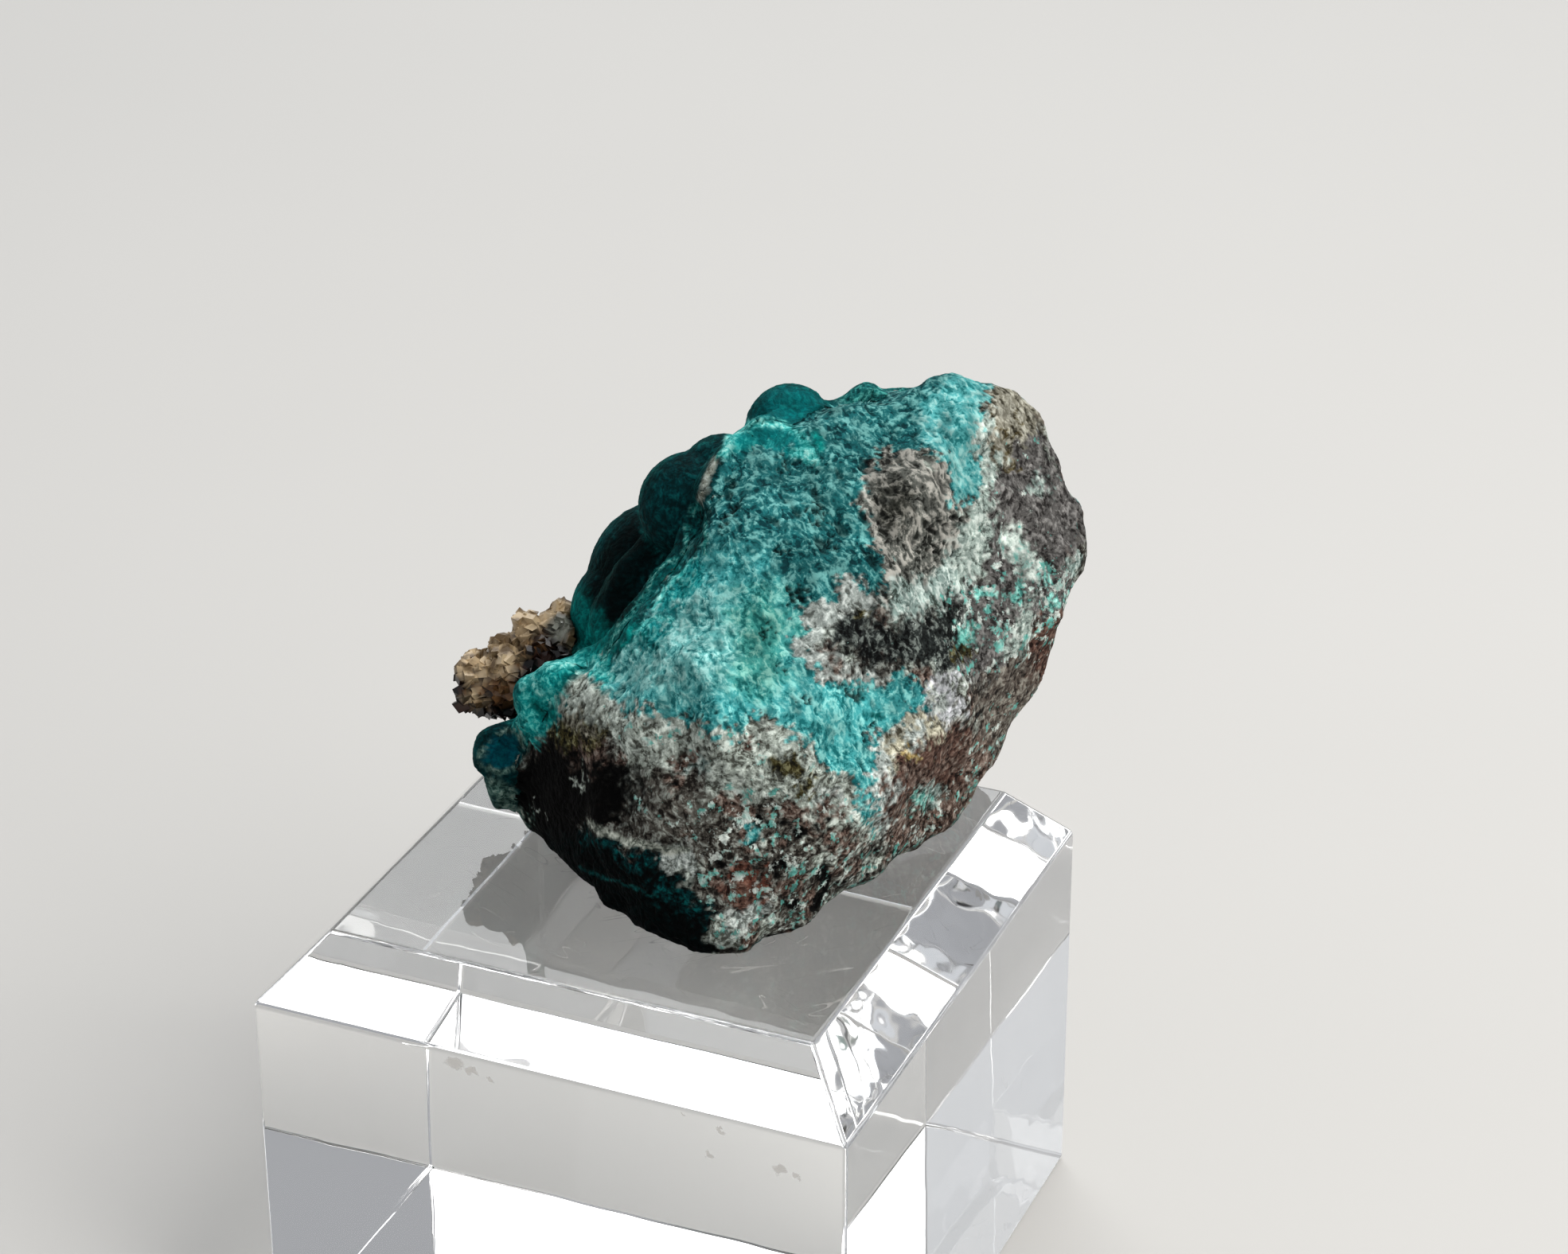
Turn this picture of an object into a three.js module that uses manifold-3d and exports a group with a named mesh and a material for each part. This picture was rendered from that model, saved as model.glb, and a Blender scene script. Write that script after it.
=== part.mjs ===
// Rosasite with calcite on a clear bevelled display block.
//
// Millimetres, +Z up. The origin is the centre of the block's bottom face, X runs along the block's
// front and Y towards its back. The specimen is modelled in its own display frame, which stands on the
// middle of the block's top: x to the right across the display face, y up that face, z out of it
// towards the viewer. The group turns and leans that frame onto the block.

import * as THREE from "three";
import { ConvexGeometry } from "three/addons/geometries/ConvexGeometry.js";
import { ConvexHull } from "three/addons/math/ConvexHull.js";
import { ImprovedNoise } from "three/addons/math/ImprovedNoise.js";
import { mergeVertices } from "three/addons/utils/BufferGeometryUtils.js";
import Module from "manifold-3d";

// Driving dimensions.
const BLOCK_SIDE = 38;
const BLOCK_HEIGHT = 29;
const BEVEL_IN = 3.5;
const BEVEL_DOWN = 4;
const DISPLAY_TURN = THREE.MathUtils.degToRad(23.2);
const DISPLAY_LEAN = THREE.MathUtils.degToRad(27.7);
const SEAT_GAP = 0.3;
const MATRIX_CELL = 1.3;
const CRUST_CELL = 1.05;
const CRUST_THICKNESS = 2.1;
const CRUST_EDGE = 1.4;
const PIECE_GAP = 0.45;

// Corners of the broken rock, in the display frame, going round its display face and then behind it.
const ROCK_CORNERS = [
  // the foot, from the front tip round to the right
  [2.7, -5.8, 10.7], [5.8, -4.6, 8.6], [9.8, -2.5, 5.3], [12.6, -1.2, 2.6], [15.9, 1.2, -2.2],
  [18.7, 4.1, -7.6],
  // the right edge, upwards
  [20.2, 8.0, -6.0], [20.9, 9.8, -5.5], [22.8, 12.6, -5.0], [25.0, 17.0, -4.0], [25.1, 19.0, -4.0],
  [24.2, 22.4, -4.0], [23.0, 25.2, -4.0], [21.4, 27.8, -3.0], [19.4, 29.5, -2.0],
  // the top edge and the ridge, down to the left ledge
  [17.6, 29.8, -1.0], [14.5, 28.4, 0.2], [10.1, 26.9, 2.4], [5.4, 24.9, 4.6], [3.6, 22.8, 6.6],
  [2.6, 20.0, 7.8], [1.8, 17.2, 8.4], [0.0, 14.4, 8.9], [-2.2, 12.0, 8.6], [-4.6, 10.6, 8.0],
  [-7.0, 9.4, 5.0],
  // the left edge, downwards to the front tip
  [-8.3, 6.8, 1.2], [-9.5, 4.8, -1.0], [-9.6, 3.0, -2.5], [-8.8, 1.0, -2.0], [-7.6, 0.3, -1.0],
  [-6.2, -1.8, 3.3], [-2.6, -3.5, 6.6], [-0.5, -5.1, 9.7],
  // the crease where the sloping upper face meets the steep lower face
  [-6.4, 8.4, 7.6], [-2.0, 8.9, 12.0], [2.6, 7.6, 14.0], [7.2, 6.2, 13.5], [11.4, 4.2, 10.5],
  [15.9, 7.3, 3.0], [19.0, 8.6, -3.0],
  // the upper face and its turn to the right side
  [2.6, 13.5, 12.5], [7.2, 15.4, 11.0], [11.9, 18.2, 8.0], [15.8, 14.5, 5.0], [18.9, 28.0, 0.5],
  [18.8, 20.7, 1.5], [19.4, 15.4, 0.0],
  // the hollow's side and the back
  [7.8, 24.4, -6.0], [3.6, 21.4, -7.0], [-0.4, 15.4, -8.5], [-4.0, 10.4, -8.0], [-6.6, 6.0, -8.0],
  [15.0, 26.4, -6.5], [20.0, 23.6, -7.5], [22.0, 17.0, -8.5], [19.5, 10.0, -10.0],
  [10.0, 18.0, -11.5], [16.5, 16.0, -11.0], [4.6, 13.0, -12.5],
  [10.4, 6.6, -12.4], [-1.6, 5.4, -10.2], [-7.4, 0.8, -1.6],
];
const ROCK_SWELL = 0.5;
// Roughness of the broken rock, coarse to fine: size of the bumps, their height and their own seed.
const ROCK_LUMPS = { size: 7.5, height: 0.6, seed: 8.3 };
const ROCK_FACETS = { size: 5.4, height: 1.3, seed: 3.1 };
const ROCK_GRAIN = { size: 2.9, height: 0.5, seed: 11.7 };

// Valley of the hollow behind the ridge: a tapered groove cut in the rock, as centres and radii.
const VALLEY = [
  [6.4, 26.6, 1.6, 1.8], [2.0, 23.4, 3.0, 2.7], [-0.8, 19.0, 3.4, 3.8], [-3.2, 15.4, 3.4, 3.9],
  [-6.0, 12.6, 2.4, 3.2],
];

// The open side of the hollow, left of the rim, where the crust's layer is cut back to the domes.
const OPEN_SIDE = [
  [-7.0, 15.4, 5.5, 3.2], [-7.8, 16.9, 5.5, 5.0], [-6.2, 19.0, 5.5, 5.0], [-4.3, 21.2, 5.5, 5.0],
  [-3.6, 22.5, 5.5, 5.0], [-2.7, 24.9, 5.2, 5.0], [-1.7, 27.1, 5.0, 5.0],
];

// Corners that bound the part of the rock that the crust lines.
const LINED_CORNERS = [
  [18.8, 30.2, -1.4], [13.0, 28.5, 0.8], [5.0, 25.6, 5.4], [2.8, 22.4, 7.6], [1.0, 17.4, 9.4],
  [-2.4, 12.6, 9.4], [-5.0, 11.0, 8.4], [-8.0, 9.0, 6.0], [-9.4, 6.0, 2.6], [-12.0, 9.0, -4.0],
  [-8.0, 20.0, 4.0], [18.4, 28.8, -6.0], [17.4, 27.0, -4.6], [9.4, 28.2, -9.0], [7.2, 24.0, -10.0],
  [-0.6, 13.4, -11.5], [-6.8, 7.0, -10.0], [-12.0, 12.0, -9.0], [-4.0, 24.0, -9.0],
];

// Botryoidal domes: centre x, y, z and radius.
const DOMES = [
  // along the skyline
  [7.0, 26.2, -0.6, 2.75], [6.0, 25.2, 3.0, 1.9], [1.1, 21.4, 1.6, 3.35], [2.9, 23.2, 1.4, 2.6],
  [-0.6, 17.0, -4.4, 5.0], [-3.0, 15.0, -3.6, 3.6],
  // the ruffles along the top
  [10.9, 27.5, -0.2, 1.4], [12.6, 27.9, -1.7, 1.5], [14.6, 28.6, -1.4, 1.4], [15.8, 29.2, -2.0, 1.4],
  [17.4, 29.3, -2.0, 1.4], [12.2, 27.4, -3.4, 2.0], [15.4, 28.3, -4.0, 1.9],
  // further back in the hollow
  [2.6, 20.6, -6.4, 3.4], [6.0, 23.6, -5.0, 3.2], [-1.6, 14.2, -8.2, 3.4], [8.8, 25.2, -5.4, 2.6],
  [-4.2, 11.6, -6.6, 3.0], [-6.4, 8.6, -5.6, 2.4],
];

// The rounded rim along the ridge, and the folds of the ledge at the left: tapered rounded ribs, each
// a row of centres with their radii.
const RIM = [
  [-3.2, 12.2, 7.3, 1.2], [-2.6, 13.5, 7.1, 1.35], [-1.5, 14.6, 7.1, 1.2], [-0.7, 16.0, 7.1, 1.35],
  [0.5, 17.2, 6.9, 1.3], [1.6, 18.7, 6.7, 1.2], [1.9, 20.1, 6.5, 1.1], [2.3, 21.6, 6.1, 1.1],
  [3.1, 23.4, 5.3, 1.1], [4.1, 24.6, 4.5, 1.2],
];
const LEDGE_FOLDS = [
  [[-8.4, 10.0, 4.2, 1.3], [-6.8, 10.4, 5.0, 1.4], [-5.4, 10.6, 6.2, 1.4], [-3.6, 11.0, 7.2, 1.3]],
  [[-8.4, 9.8, 4.0, 1.3], [-7.8, 8.4, 4.4, 1.2], [-8.9, 7.4, 2.4, 1.4]],
  [[-8.9, 7.4, 2.4, 1.4], [-10.1, 5.4, -0.6, 1.7], [-9.9, 3.5, -2.0, 1.6]],
];
const GROWTH_FILLET = 0.5;
const POCKET_BOWL = [-10.3, 6.2, -0.4, 2.1];
const POCKET_HOLLOW = [-10.7, 6.5, 1.9, 1.5];
const CALCITE_SEAT = [-7.8, 12.8, 0.4, 3.0];

// Corners of the calcite cluster, from its free point back into the hollow.
const CALCITE_CORE = [
  [-13.3, 9.9, -3.0], [-12.5, 10.8, -3.6], [-11.0, 12.2, -4.2], [-9.4, 13.8, -4.4], [-7.8, 14.8, -4.6],
  [-6.4, 15.3, -4.4], [-5.8, 13.4, -2.0], [-9.8, 8.4, -3.0], [-12.0, 9.0, -2.6], [-9.0, 9.0, -6.4],
  [-6.4, 11.0, -7.4], [-5.6, 14.6, -7.4], [-8.6, 11.6, -1.4], [-11.4, 10.4, -5.6],
];
const CALCITE_CRYSTALS = 26;
const CALCITE_EDGE = 2.1;
const CALCITE_ANGLE = THREE.MathUtils.degToRad(102);
const CALCITE_LEAST = 0.6;
const CALCITE_MOST = 1.2;
const CALCITE_SINK = 0.3;
const CALCITE_SEED = 41;

// Boxes in which the natural forms are searched for, as their low and high corners.
const ROCK_BOX = [[-13, -7, -17], [28, 33, 17]];
const CRUST_BOX = [[-15, -1, -15], [17, 33, 12]];
const CALCITE_BOX = [[-17, 3, -13], [1, 21, 6]];

// How a surface net settles: passes, and shares of a cell.
const CELL_CORNERS = [0, 1, 2, 3, 4, 5, 6, 7];
const UNTANGLE_PASSES = 4;
const UNTANGLE_NUDGE = 0.05;
const SEAT_PASSES = 2;
const SEAT_SHARE = 0.25;
const SLOPE_STEP = 0.02;
const LEAST_SLOPE = 0.8;

const FINISHES = {
  block: { color: 0xeef2f2, roughness: 0.05, metalness: 0 },
  rock: { color: 0x5f5148, roughness: 0.95, metalness: 0 },
  crust: { color: 0x0f5a55, roughness: 0.9, metalness: 0 },
  calcite: { color: 0xa98f6b, roughness: 0.4, metalness: 0 },
};

const noise = new ImprovedNoise();
const wasm = await Module();
wasm.setup();

function vectors(rows) {
  return rows.map(([x, y, z]) => new THREE.Vector3(x, y, z));
}

function seededRandom(seed) {
  let state = seed;
  return () => {
    state = (state * 16807) % 2147483647;
    return state / 2147483647;
  };
}

// Signed distance to the nearest plane of a convex hull: negative inside.
function hullField(rows) {
  const hull = new ConvexHull().setFromPoints(vectors(rows));
  const planes = hull.faces.map((face) => ({ normal: face.normal.clone(), constant: face.constant }));
  return (point) => {
    let distance = -Infinity;
    for (const plane of planes) {
      distance = Math.max(distance, plane.normal.dot(point) - plane.constant);
    }
    return distance;
  };
}

function ballField([x, y, z, radius]) {
  const centre = new THREE.Vector3(x, y, z);
  return (point) => point.distanceTo(centre) - radius;
}

// A rounded rib whose centre line runs through the rows and whose radius changes along it.
function foldField(rows) {
  const spans = rows.slice(1).map((row, index) => ({ from: rows[index], to: row }));
  const start = new THREE.Vector3();
  const along = new THREE.Vector3();
  const offset = new THREE.Vector3();
  return (point) => {
    let distance = Infinity;
    for (const { from, to } of spans) {
      start.set(from[0], from[1], from[2]);
      along.set(to[0], to[1], to[2]).sub(start);
      offset.copy(point).sub(start);
      const share = THREE.MathUtils.clamp(offset.dot(along) / along.lengthSq(), 0, 1);
      offset.addScaledVector(along, -share);
      distance = Math.min(distance, offset.length() - THREE.MathUtils.lerp(from[3], to[3], share));
    }
    return distance;
  };
}

function nearest(fields) {
  return (point) => Math.min(...fields.map((field) => field(point)));
}

// The lesser of two distances, with a fillet of about the given size where they meet.
function filleted(first, second, size) {
  const blend = Math.max(size - Math.abs(first - second), 0) / size;
  return Math.min(first, second) - blend * blend * size * 0.25;
}

function bumps(point, { size, seed }) {
  return noise.noise(point.x / size + seed, point.y / size, point.z / size);
}

// Height over the block's top face, which is a leaning plane in the display frame.
function heightOverBlock(point) {
  return point.y * Math.cos(DISPLAY_LEAN) + point.z * Math.sin(DISPLAY_LEAN);
}

// Closed mesh of the surface where a field is zero, one vertex in each cell that the surface crosses.
// The outermost samples count as outside, so that a field that runs past the box is capped there.
function surfaceNet(field, [low, high], cell) {
  const counts = [0, 1, 2].map((axis) => Math.ceil((high[axis] - low[axis]) / cell) + 1);
  const [nx, ny, nz] = counts;
  const sampleIndex = (i, j, k) => i + nx * (j + ny * k);
  const at = (i, j, k) => new THREE.Vector3(low[0] + i * cell, low[1] + j * cell, low[2] + k * cell);
  const samples = new Float64Array(nx * ny * nz);
  for (let k = 0; k < nz; k++) {
    for (let j = 0; j < ny; j++) {
      for (let i = 0; i < nx; i++) {
        const inner = i > 0 && j > 0 && k > 0 && i < nx - 1 && j < ny - 1 && k < nz - 1;
        samples[sampleIndex(i, j, k)] = inner ? field(at(i, j, k)) : cell / 2;
      }
    }
  }
  const cornerOffset = (c) => sampleIndex(c & 1, (c >> 1) & 1, (c >> 2) & 1);
  for (let pass = 0; pass < UNTANGLE_PASSES; pass++) {
    for (let k = 0; k < nz - 1; k++) {
      for (let j = 0; j < ny - 1; j++) {
        for (let i = 0; i < nx - 1; i++) {
          const cellSamples = CELL_CORNERS.map((c) => sampleIndex(i, j, k) + cornerOffset(c));
          untangle(samples, cellSamples, cell);
        }
      }
    }
  }
  const positions = [];
  const vertexOfCell = new Map();
  for (let k = 0; k < nz - 1; k++) {
    for (let j = 0; j < ny - 1; j++) {
      for (let i = 0; i < nx - 1; i++) {
        const crossing = crossingPoint(i, j, k);
        if (crossing) {
          vertexOfCell.set(sampleIndex(i, j, k), positions.length / 3);
          const seated = seatOnSurface(field, crossing, cell);
          positions.push(seated.x, seated.y, seated.z);
        }
      }
    }
  }

  function crossingPoint(i, j, k) {
    const sum = new THREE.Vector3();
    let crossings = 0;
    for (let a = 0; a < 8; a++) {
      for (const bit of [1, 2, 4]) {
        const b = a | bit;
        if (a & bit) continue;
        const from = samples[sampleIndex(i, j, k) + cornerOffset(a)];
        const to = samples[sampleIndex(i, j, k) + cornerOffset(b)];
        if (from < 0 === to < 0) continue;
        const start = at(i + (a & 1), j + ((a >> 1) & 1), k + ((a >> 2) & 1));
        const end = at(i + (b & 1), j + ((b >> 1) & 1), k + ((b >> 2) & 1));
        sum.add(start.lerp(end, from / (from - to)));
        crossings += 1;
      }
    }
    return crossings ? sum.divideScalar(crossings) : null;
  }

  const indices = [];
  const steps = [[1, 0, 0], [0, 1, 0], [0, 0, 1]];
  for (let k = 0; k < nz - 1; k++) {
    for (let j = 0; j < ny - 1; j++) {
      for (let i = 0; i < nx - 1; i++) {
        for (let axis = 0; axis < 3; axis++) {
          const step = steps[axis];
          const here = samples[sampleIndex(i, j, k)];
          const next = samples[sampleIndex(i + step[0], j + step[1], k + step[2])];
          if (here < 0 === next < 0) continue;
          const s = steps[(axis + 1) % 3];
          const t = steps[(axis + 2) % 3];
          const quad = [[0, 0], [1, 0], [1, 1], [0, 1]].map(([p, q]) => vertexOfCell.get(
            sampleIndex(i - p * s[0] - q * t[0], j - p * s[1] - q * t[1], k - p * s[2] - q * t[2]),
          ));
          if (here < 0) {
            quad.reverse();
          }
          indices.push(quad[0], quad[2], quad[1], quad[0], quad[3], quad[2]);
        }
      }
    }
  }
  const geometry = new THREE.BufferGeometry();
  geometry.setAttribute("position", new THREE.Float32BufferAttribute(positions, 3));
  geometry.setIndex(indices);
  return geometry;
}

// Where the surface would pass twice through one cell, the smaller odd corner changes sides, so that
// every cell holds a single sheet. Corners are numbered so that one bit differs along each edge.
function untangle(samples, cellSamples, cell) {
  for (const inside of [true, false]) {
    const side = CELL_CORNERS.filter((c) => samples[cellSamples[c]] < 0 === inside);
    if (side.length < 2) continue;
    const joined = new Set([side[0]]);
    for (const c of joined) {
      for (const bit of [1, 2, 4]) {
        if (side.includes(c ^ bit)) {
          joined.add(c ^ bit);
        }
      }
    }
    const apart = side.filter((c) => !joined.has(c));
    if (apart.length === 0) continue;
    const odd = apart.length <= joined.size ? apart : [...joined];
    for (const c of odd) {
      samples[cellSamples[c]] = (inside ? cell : -cell) * UNTANGLE_NUDGE;
    }
  }
}

// Moves a point towards the field's zero surface, by no more than its share of a cell.
function seatOnSurface(field, point, cell) {
  const start = point.clone();
  const gradient = new THREE.Vector3();
  for (let pass = 0; pass < SEAT_PASSES; pass++) {
    const value = field(point);
    for (const axis of ["x", "y", "z"]) {
      const probe = point.clone();
      probe[axis] += SLOPE_STEP;
      gradient[axis] = (field(probe) - value) / SLOPE_STEP;
    }
    point.addScaledVector(gradient, -value / Math.max(gradient.lengthSq(), LEAST_SLOPE));
  }
  const shift = point.clone().sub(start).clampLength(0, cell * SEAT_SHARE);
  return start.add(shift);
}

function solidOf(geometry) {
  const bare = geometry.clone();
  bare.deleteAttribute("normal");
  bare.deleteAttribute("uv");
  const merged = mergeVertices(bare, 1e-4);
  return new wasm.Manifold(new wasm.Mesh({
    numProp: 3,
    vertProperties: Float32Array.from(merged.attributes.position.array),
    triVerts: Uint32Array.from(merged.index.array),
  }));
}

function geometryOf(solid) {
  const mesh = solid.getMesh();
  const geometry = new THREE.BufferGeometry();
  geometry.setAttribute("position", new THREE.Float32BufferAttribute(mesh.vertProperties, 3));
  geometry.setIndex(Array.from(mesh.triVerts));
  return geometry;
}

// The largest body of a solid, without the loose crumbs that a cut can leave.
function mainBody(solid) {
  return solid.decompose().reduce((best, part) => (part.volume() > best.volume() ? part : best));
}

function namedMesh(name, geometry, finish) {
  geometry.computeVertexNormals();
  const mesh = new THREE.Mesh(geometry, new THREE.MeshStandardMaterial(finish));
  mesh.name = name;
  return mesh;
}

function displayBlock() {
  const half = BLOCK_SIDE / 2;
  const top = half - BEVEL_IN;
  const rings = [[half, 0], [half, BLOCK_HEIGHT - BEVEL_DOWN], [top, BLOCK_HEIGHT]];
  const corners = [];
  for (const [reach, height] of rings) {
    for (const [x, y] of [[1, 1], [-1, 1], [-1, -1], [1, -1]]) {
      corners.push(new THREE.Vector3(x * reach, y * reach, height));
    }
  }
  return new ConvexGeometry(corners);
}

const rockHull = hullField(ROCK_CORNERS);
const valley = foldField(VALLEY);
const openSide = foldField(OPEN_SIDE);

// The rock: a rough hull, with the hollow's valley cut in and the foot kept clear of the block.
function rockField(point) {
  const lumps = ROCK_LUMPS.height * bumps(point, ROCK_LUMPS);
  const facets = ROCK_FACETS.height * Math.abs(bumps(point, ROCK_FACETS));
  const grain = ROCK_GRAIN.height * bumps(point, ROCK_GRAIN);
  const body = rockHull(point) + lumps + facets + grain - ROCK_SWELL;
  return Math.max(body, -valley(point), SEAT_GAP - heightOverBlock(point));
}

const lined = hullField(LINED_CORNERS);
const domes = nearest(DOMES.map(ballField));
const ribs = nearest([foldField(RIM), ...LEDGE_FOLDS.map(foldField), ballField(POCKET_BOWL)]);
const pocketHollow = ballField(POCKET_HOLLOW);
const calciteSeat = ballField(CALCITE_SEAT);

// The crust: a layer over the rock in the hollow, with domes, rim, ledge and pocket grown on it.
function crustField(point) {
  const layer = Math.max(rockField(point) - CRUST_THICKNESS, lined(point), -openSide(point));
  const domed = filleted(layer, domes(point), GROWTH_FILLET);
  const grown = filleted(domed, ribs(point), GROWTH_FILLET);
  const cupped = Math.max(grown, -pocketHollow(point), -calciteSeat(point));
  const clearOfRock = PIECE_GAP - rockField(point);
  return Math.max(-filleted(-cupped, -clearOfRock, CRUST_EDGE), SEAT_GAP - heightOverBlock(point));
}

function matrix() {
  return geometryOf(mainBody(solidOf(surfaceNet(rockField, ROCK_BOX, MATRIX_CELL))));
}

function rosasiteCrust() {
  return geometryOf(mainBody(solidOf(surfaceNet(crustField, CRUST_BOX, CRUST_CELL))));
}

// A calcite rhomb: eight corners spanned by three equal edges that meet at a blunt angle.
function rhomb(edge) {
  const lift = Math.sqrt((1 + 2 * Math.cos(CALCITE_ANGLE)) / 3);
  const spread = Math.sqrt(1 - lift * lift);
  const edges = [0, 1, 2].map((turn) => {
    const angle = (turn * 2 * Math.PI) / 3;
    return new THREE.Vector3(spread * Math.cos(angle), spread * Math.sin(angle), lift);
  });
  const corners = [];
  for (let c = 0; c < 8; c++) {
    const corner = new THREE.Vector3();
    edges.forEach((vector, index) => {
      corner.addScaledVector(vector, (c >> index) & 1 ? edge / 2 : -edge / 2);
    });
    corners.push(corner);
  }
  return new ConvexGeometry(corners);
}

function calciteCrystals() {
  const random = seededRandom(CALCITE_SEED);
  const corners = vectors(CALCITE_CORE);
  let cluster = solidOf(new ConvexGeometry(corners));
  const middle = corners.reduce((sum, corner) => sum.add(corner), new THREE.Vector3());
  middle.divideScalar(corners.length);
  for (let n = 0; n < CALCITE_CRYSTALS; n++) {
    const from = corners[n % corners.length];
    const to = corners[(n + 1 + Math.floor(random() * 3)) % corners.length];
    const seat = from.clone().lerp(to, random()).lerp(middle, CALCITE_SINK);
    const edge = CALCITE_EDGE * THREE.MathUtils.lerp(CALCITE_LEAST, CALCITE_MOST, random());
    const turn = new THREE.Euler(random() * Math.PI, random() * Math.PI, random() * Math.PI);
    const crystal = rhomb(edge);
    crystal.applyMatrix4(new THREE.Matrix4().makeRotationFromEuler(turn));
    crystal.translate(seat.x, seat.y, seat.z);
    cluster = cluster.add(solidOf(crystal));
  }
  const reserved = (point) => Math.min(rockField(point), crustField(point)) - PIECE_GAP;
  return cluster.subtract(solidOf(surfaceNet(reserved, CALCITE_BOX, CRUST_CELL)));
}

function build() {
  const group = new THREE.Group();
  group.add(namedMesh("display_block", displayBlock(), FINISHES.block));
  const specimen = new THREE.Group();
  specimen.position.set(0, 0, BLOCK_HEIGHT);
  specimen.rotation.set(Math.PI / 2 - DISPLAY_LEAN, 0, DISPLAY_TURN, "ZXY");
  specimen.add(namedMesh("matrix", matrix(), FINISHES.rock));
  specimen.add(namedMesh("rosasite_crust", rosasiteCrust(), FINISHES.crust));
  specimen.add(namedMesh("calcite_crystals", geometryOf(mainBody(calciteCrystals())), FINISHES.calcite));
  group.add(specimen);
  return group;
}

export default build();
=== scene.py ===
"""Dresses a packed rosasite specimen and its clear display block.

The file is laid out as an add-on and is run as a script. The CAD model is loaded first and stays as it
is; each piece made here stands for one CAD node, in metres, in the same frame. Places on the specimen
are given in millimetres in its display frame: x to the right across the display face, y up that face
and z out of it, from the middle of the block's top.
"""

import math
from contextlib import contextmanager

import bmesh
import bpy
import numpy as np
from bpy.props import FloatProperty, FloatVectorProperty, IntProperty, PointerProperty
from bpy.types import Operator, Panel, PropertyGroup
from mathutils import Matrix, Vector, noise
from mathutils.bvhtree import BVHTree


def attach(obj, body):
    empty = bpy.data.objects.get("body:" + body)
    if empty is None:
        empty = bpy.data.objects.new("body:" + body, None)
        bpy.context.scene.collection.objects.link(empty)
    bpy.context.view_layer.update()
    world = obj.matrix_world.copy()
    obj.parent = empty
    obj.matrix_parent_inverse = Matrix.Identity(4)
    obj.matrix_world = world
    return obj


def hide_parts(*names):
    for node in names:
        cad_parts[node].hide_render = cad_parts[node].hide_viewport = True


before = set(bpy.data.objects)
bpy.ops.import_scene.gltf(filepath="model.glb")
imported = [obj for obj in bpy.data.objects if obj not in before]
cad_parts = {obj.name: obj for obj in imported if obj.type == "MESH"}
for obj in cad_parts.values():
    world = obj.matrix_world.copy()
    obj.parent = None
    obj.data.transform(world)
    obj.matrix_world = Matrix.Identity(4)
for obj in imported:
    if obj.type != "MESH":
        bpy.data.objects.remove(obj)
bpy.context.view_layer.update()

bl_info = {
    "name": "Rosasite on a display block",
    "version": (1, 0, 0),
    "blender": (4, 5, 0),
    "location": "3D View > Sidebar > Specimen",
    "description": "Makes the rock, crust, calcite, clear block and stage of a mineral specimen",
    "category": "Object",
}

# The display frame, from the turn and lean that set the specimen on the block.
MM = 0.001
BLOCK_HEIGHT = 29.0
BLOCK_HALF = 19.0
TURN = math.radians(23.2)
LEAN = math.radians(27.7)
FACE_RIGHT = np.array((math.cos(TURN), math.sin(TURN), 0.0))
FACE_OUT = np.array((
    math.sin(TURN) * math.cos(LEAN), -math.cos(TURN) * math.cos(LEAN), math.sin(LEAN),
))
FACE_UP = np.cross(FACE_OUT, FACE_RIGHT)
FACE_AXES = np.stack((FACE_RIGHT, FACE_UP, FACE_OUT))
FACE_ORIGIN = np.array((0.0, 0.0, BLOCK_HEIGHT))
# Where the specimen is looked at from, in the display frame, and the lens that takes it all in.
EYE = np.array((6.57, 14.07, 254.0))
EYE_ROLL = math.radians(-0.15)
EYE_LENS = 95.77
EYE_SENSOR = 36.0
# The seed of all the noise that frays the patches' edges, and its layers: size of the waves in
# millimetres, share in the whole and step on from the piece's own seed.
NOISE_SEED = 3
FRAYS = ((1.5, 1.0, 0), (0.5, 0.8, 9), (0.3, 0.9, 17))
# How much of that fraying a thin line takes on.
LINE_FRAY = 0.2
# A surface turned away from the display side by more than this, as a cosine, isn't seen from there.
SIDE_ON = 0.12


def srgb(red, green, blue):
    """A linear colour from the usual 0 to 255 screen values."""
    parts = [value / 255 for value in (red, green, blue)]
    return tuple(v / 12.92 if v <= 0.04045 else ((v + 0.055) / 1.055) ** 2.4 for v in parts)


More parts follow.
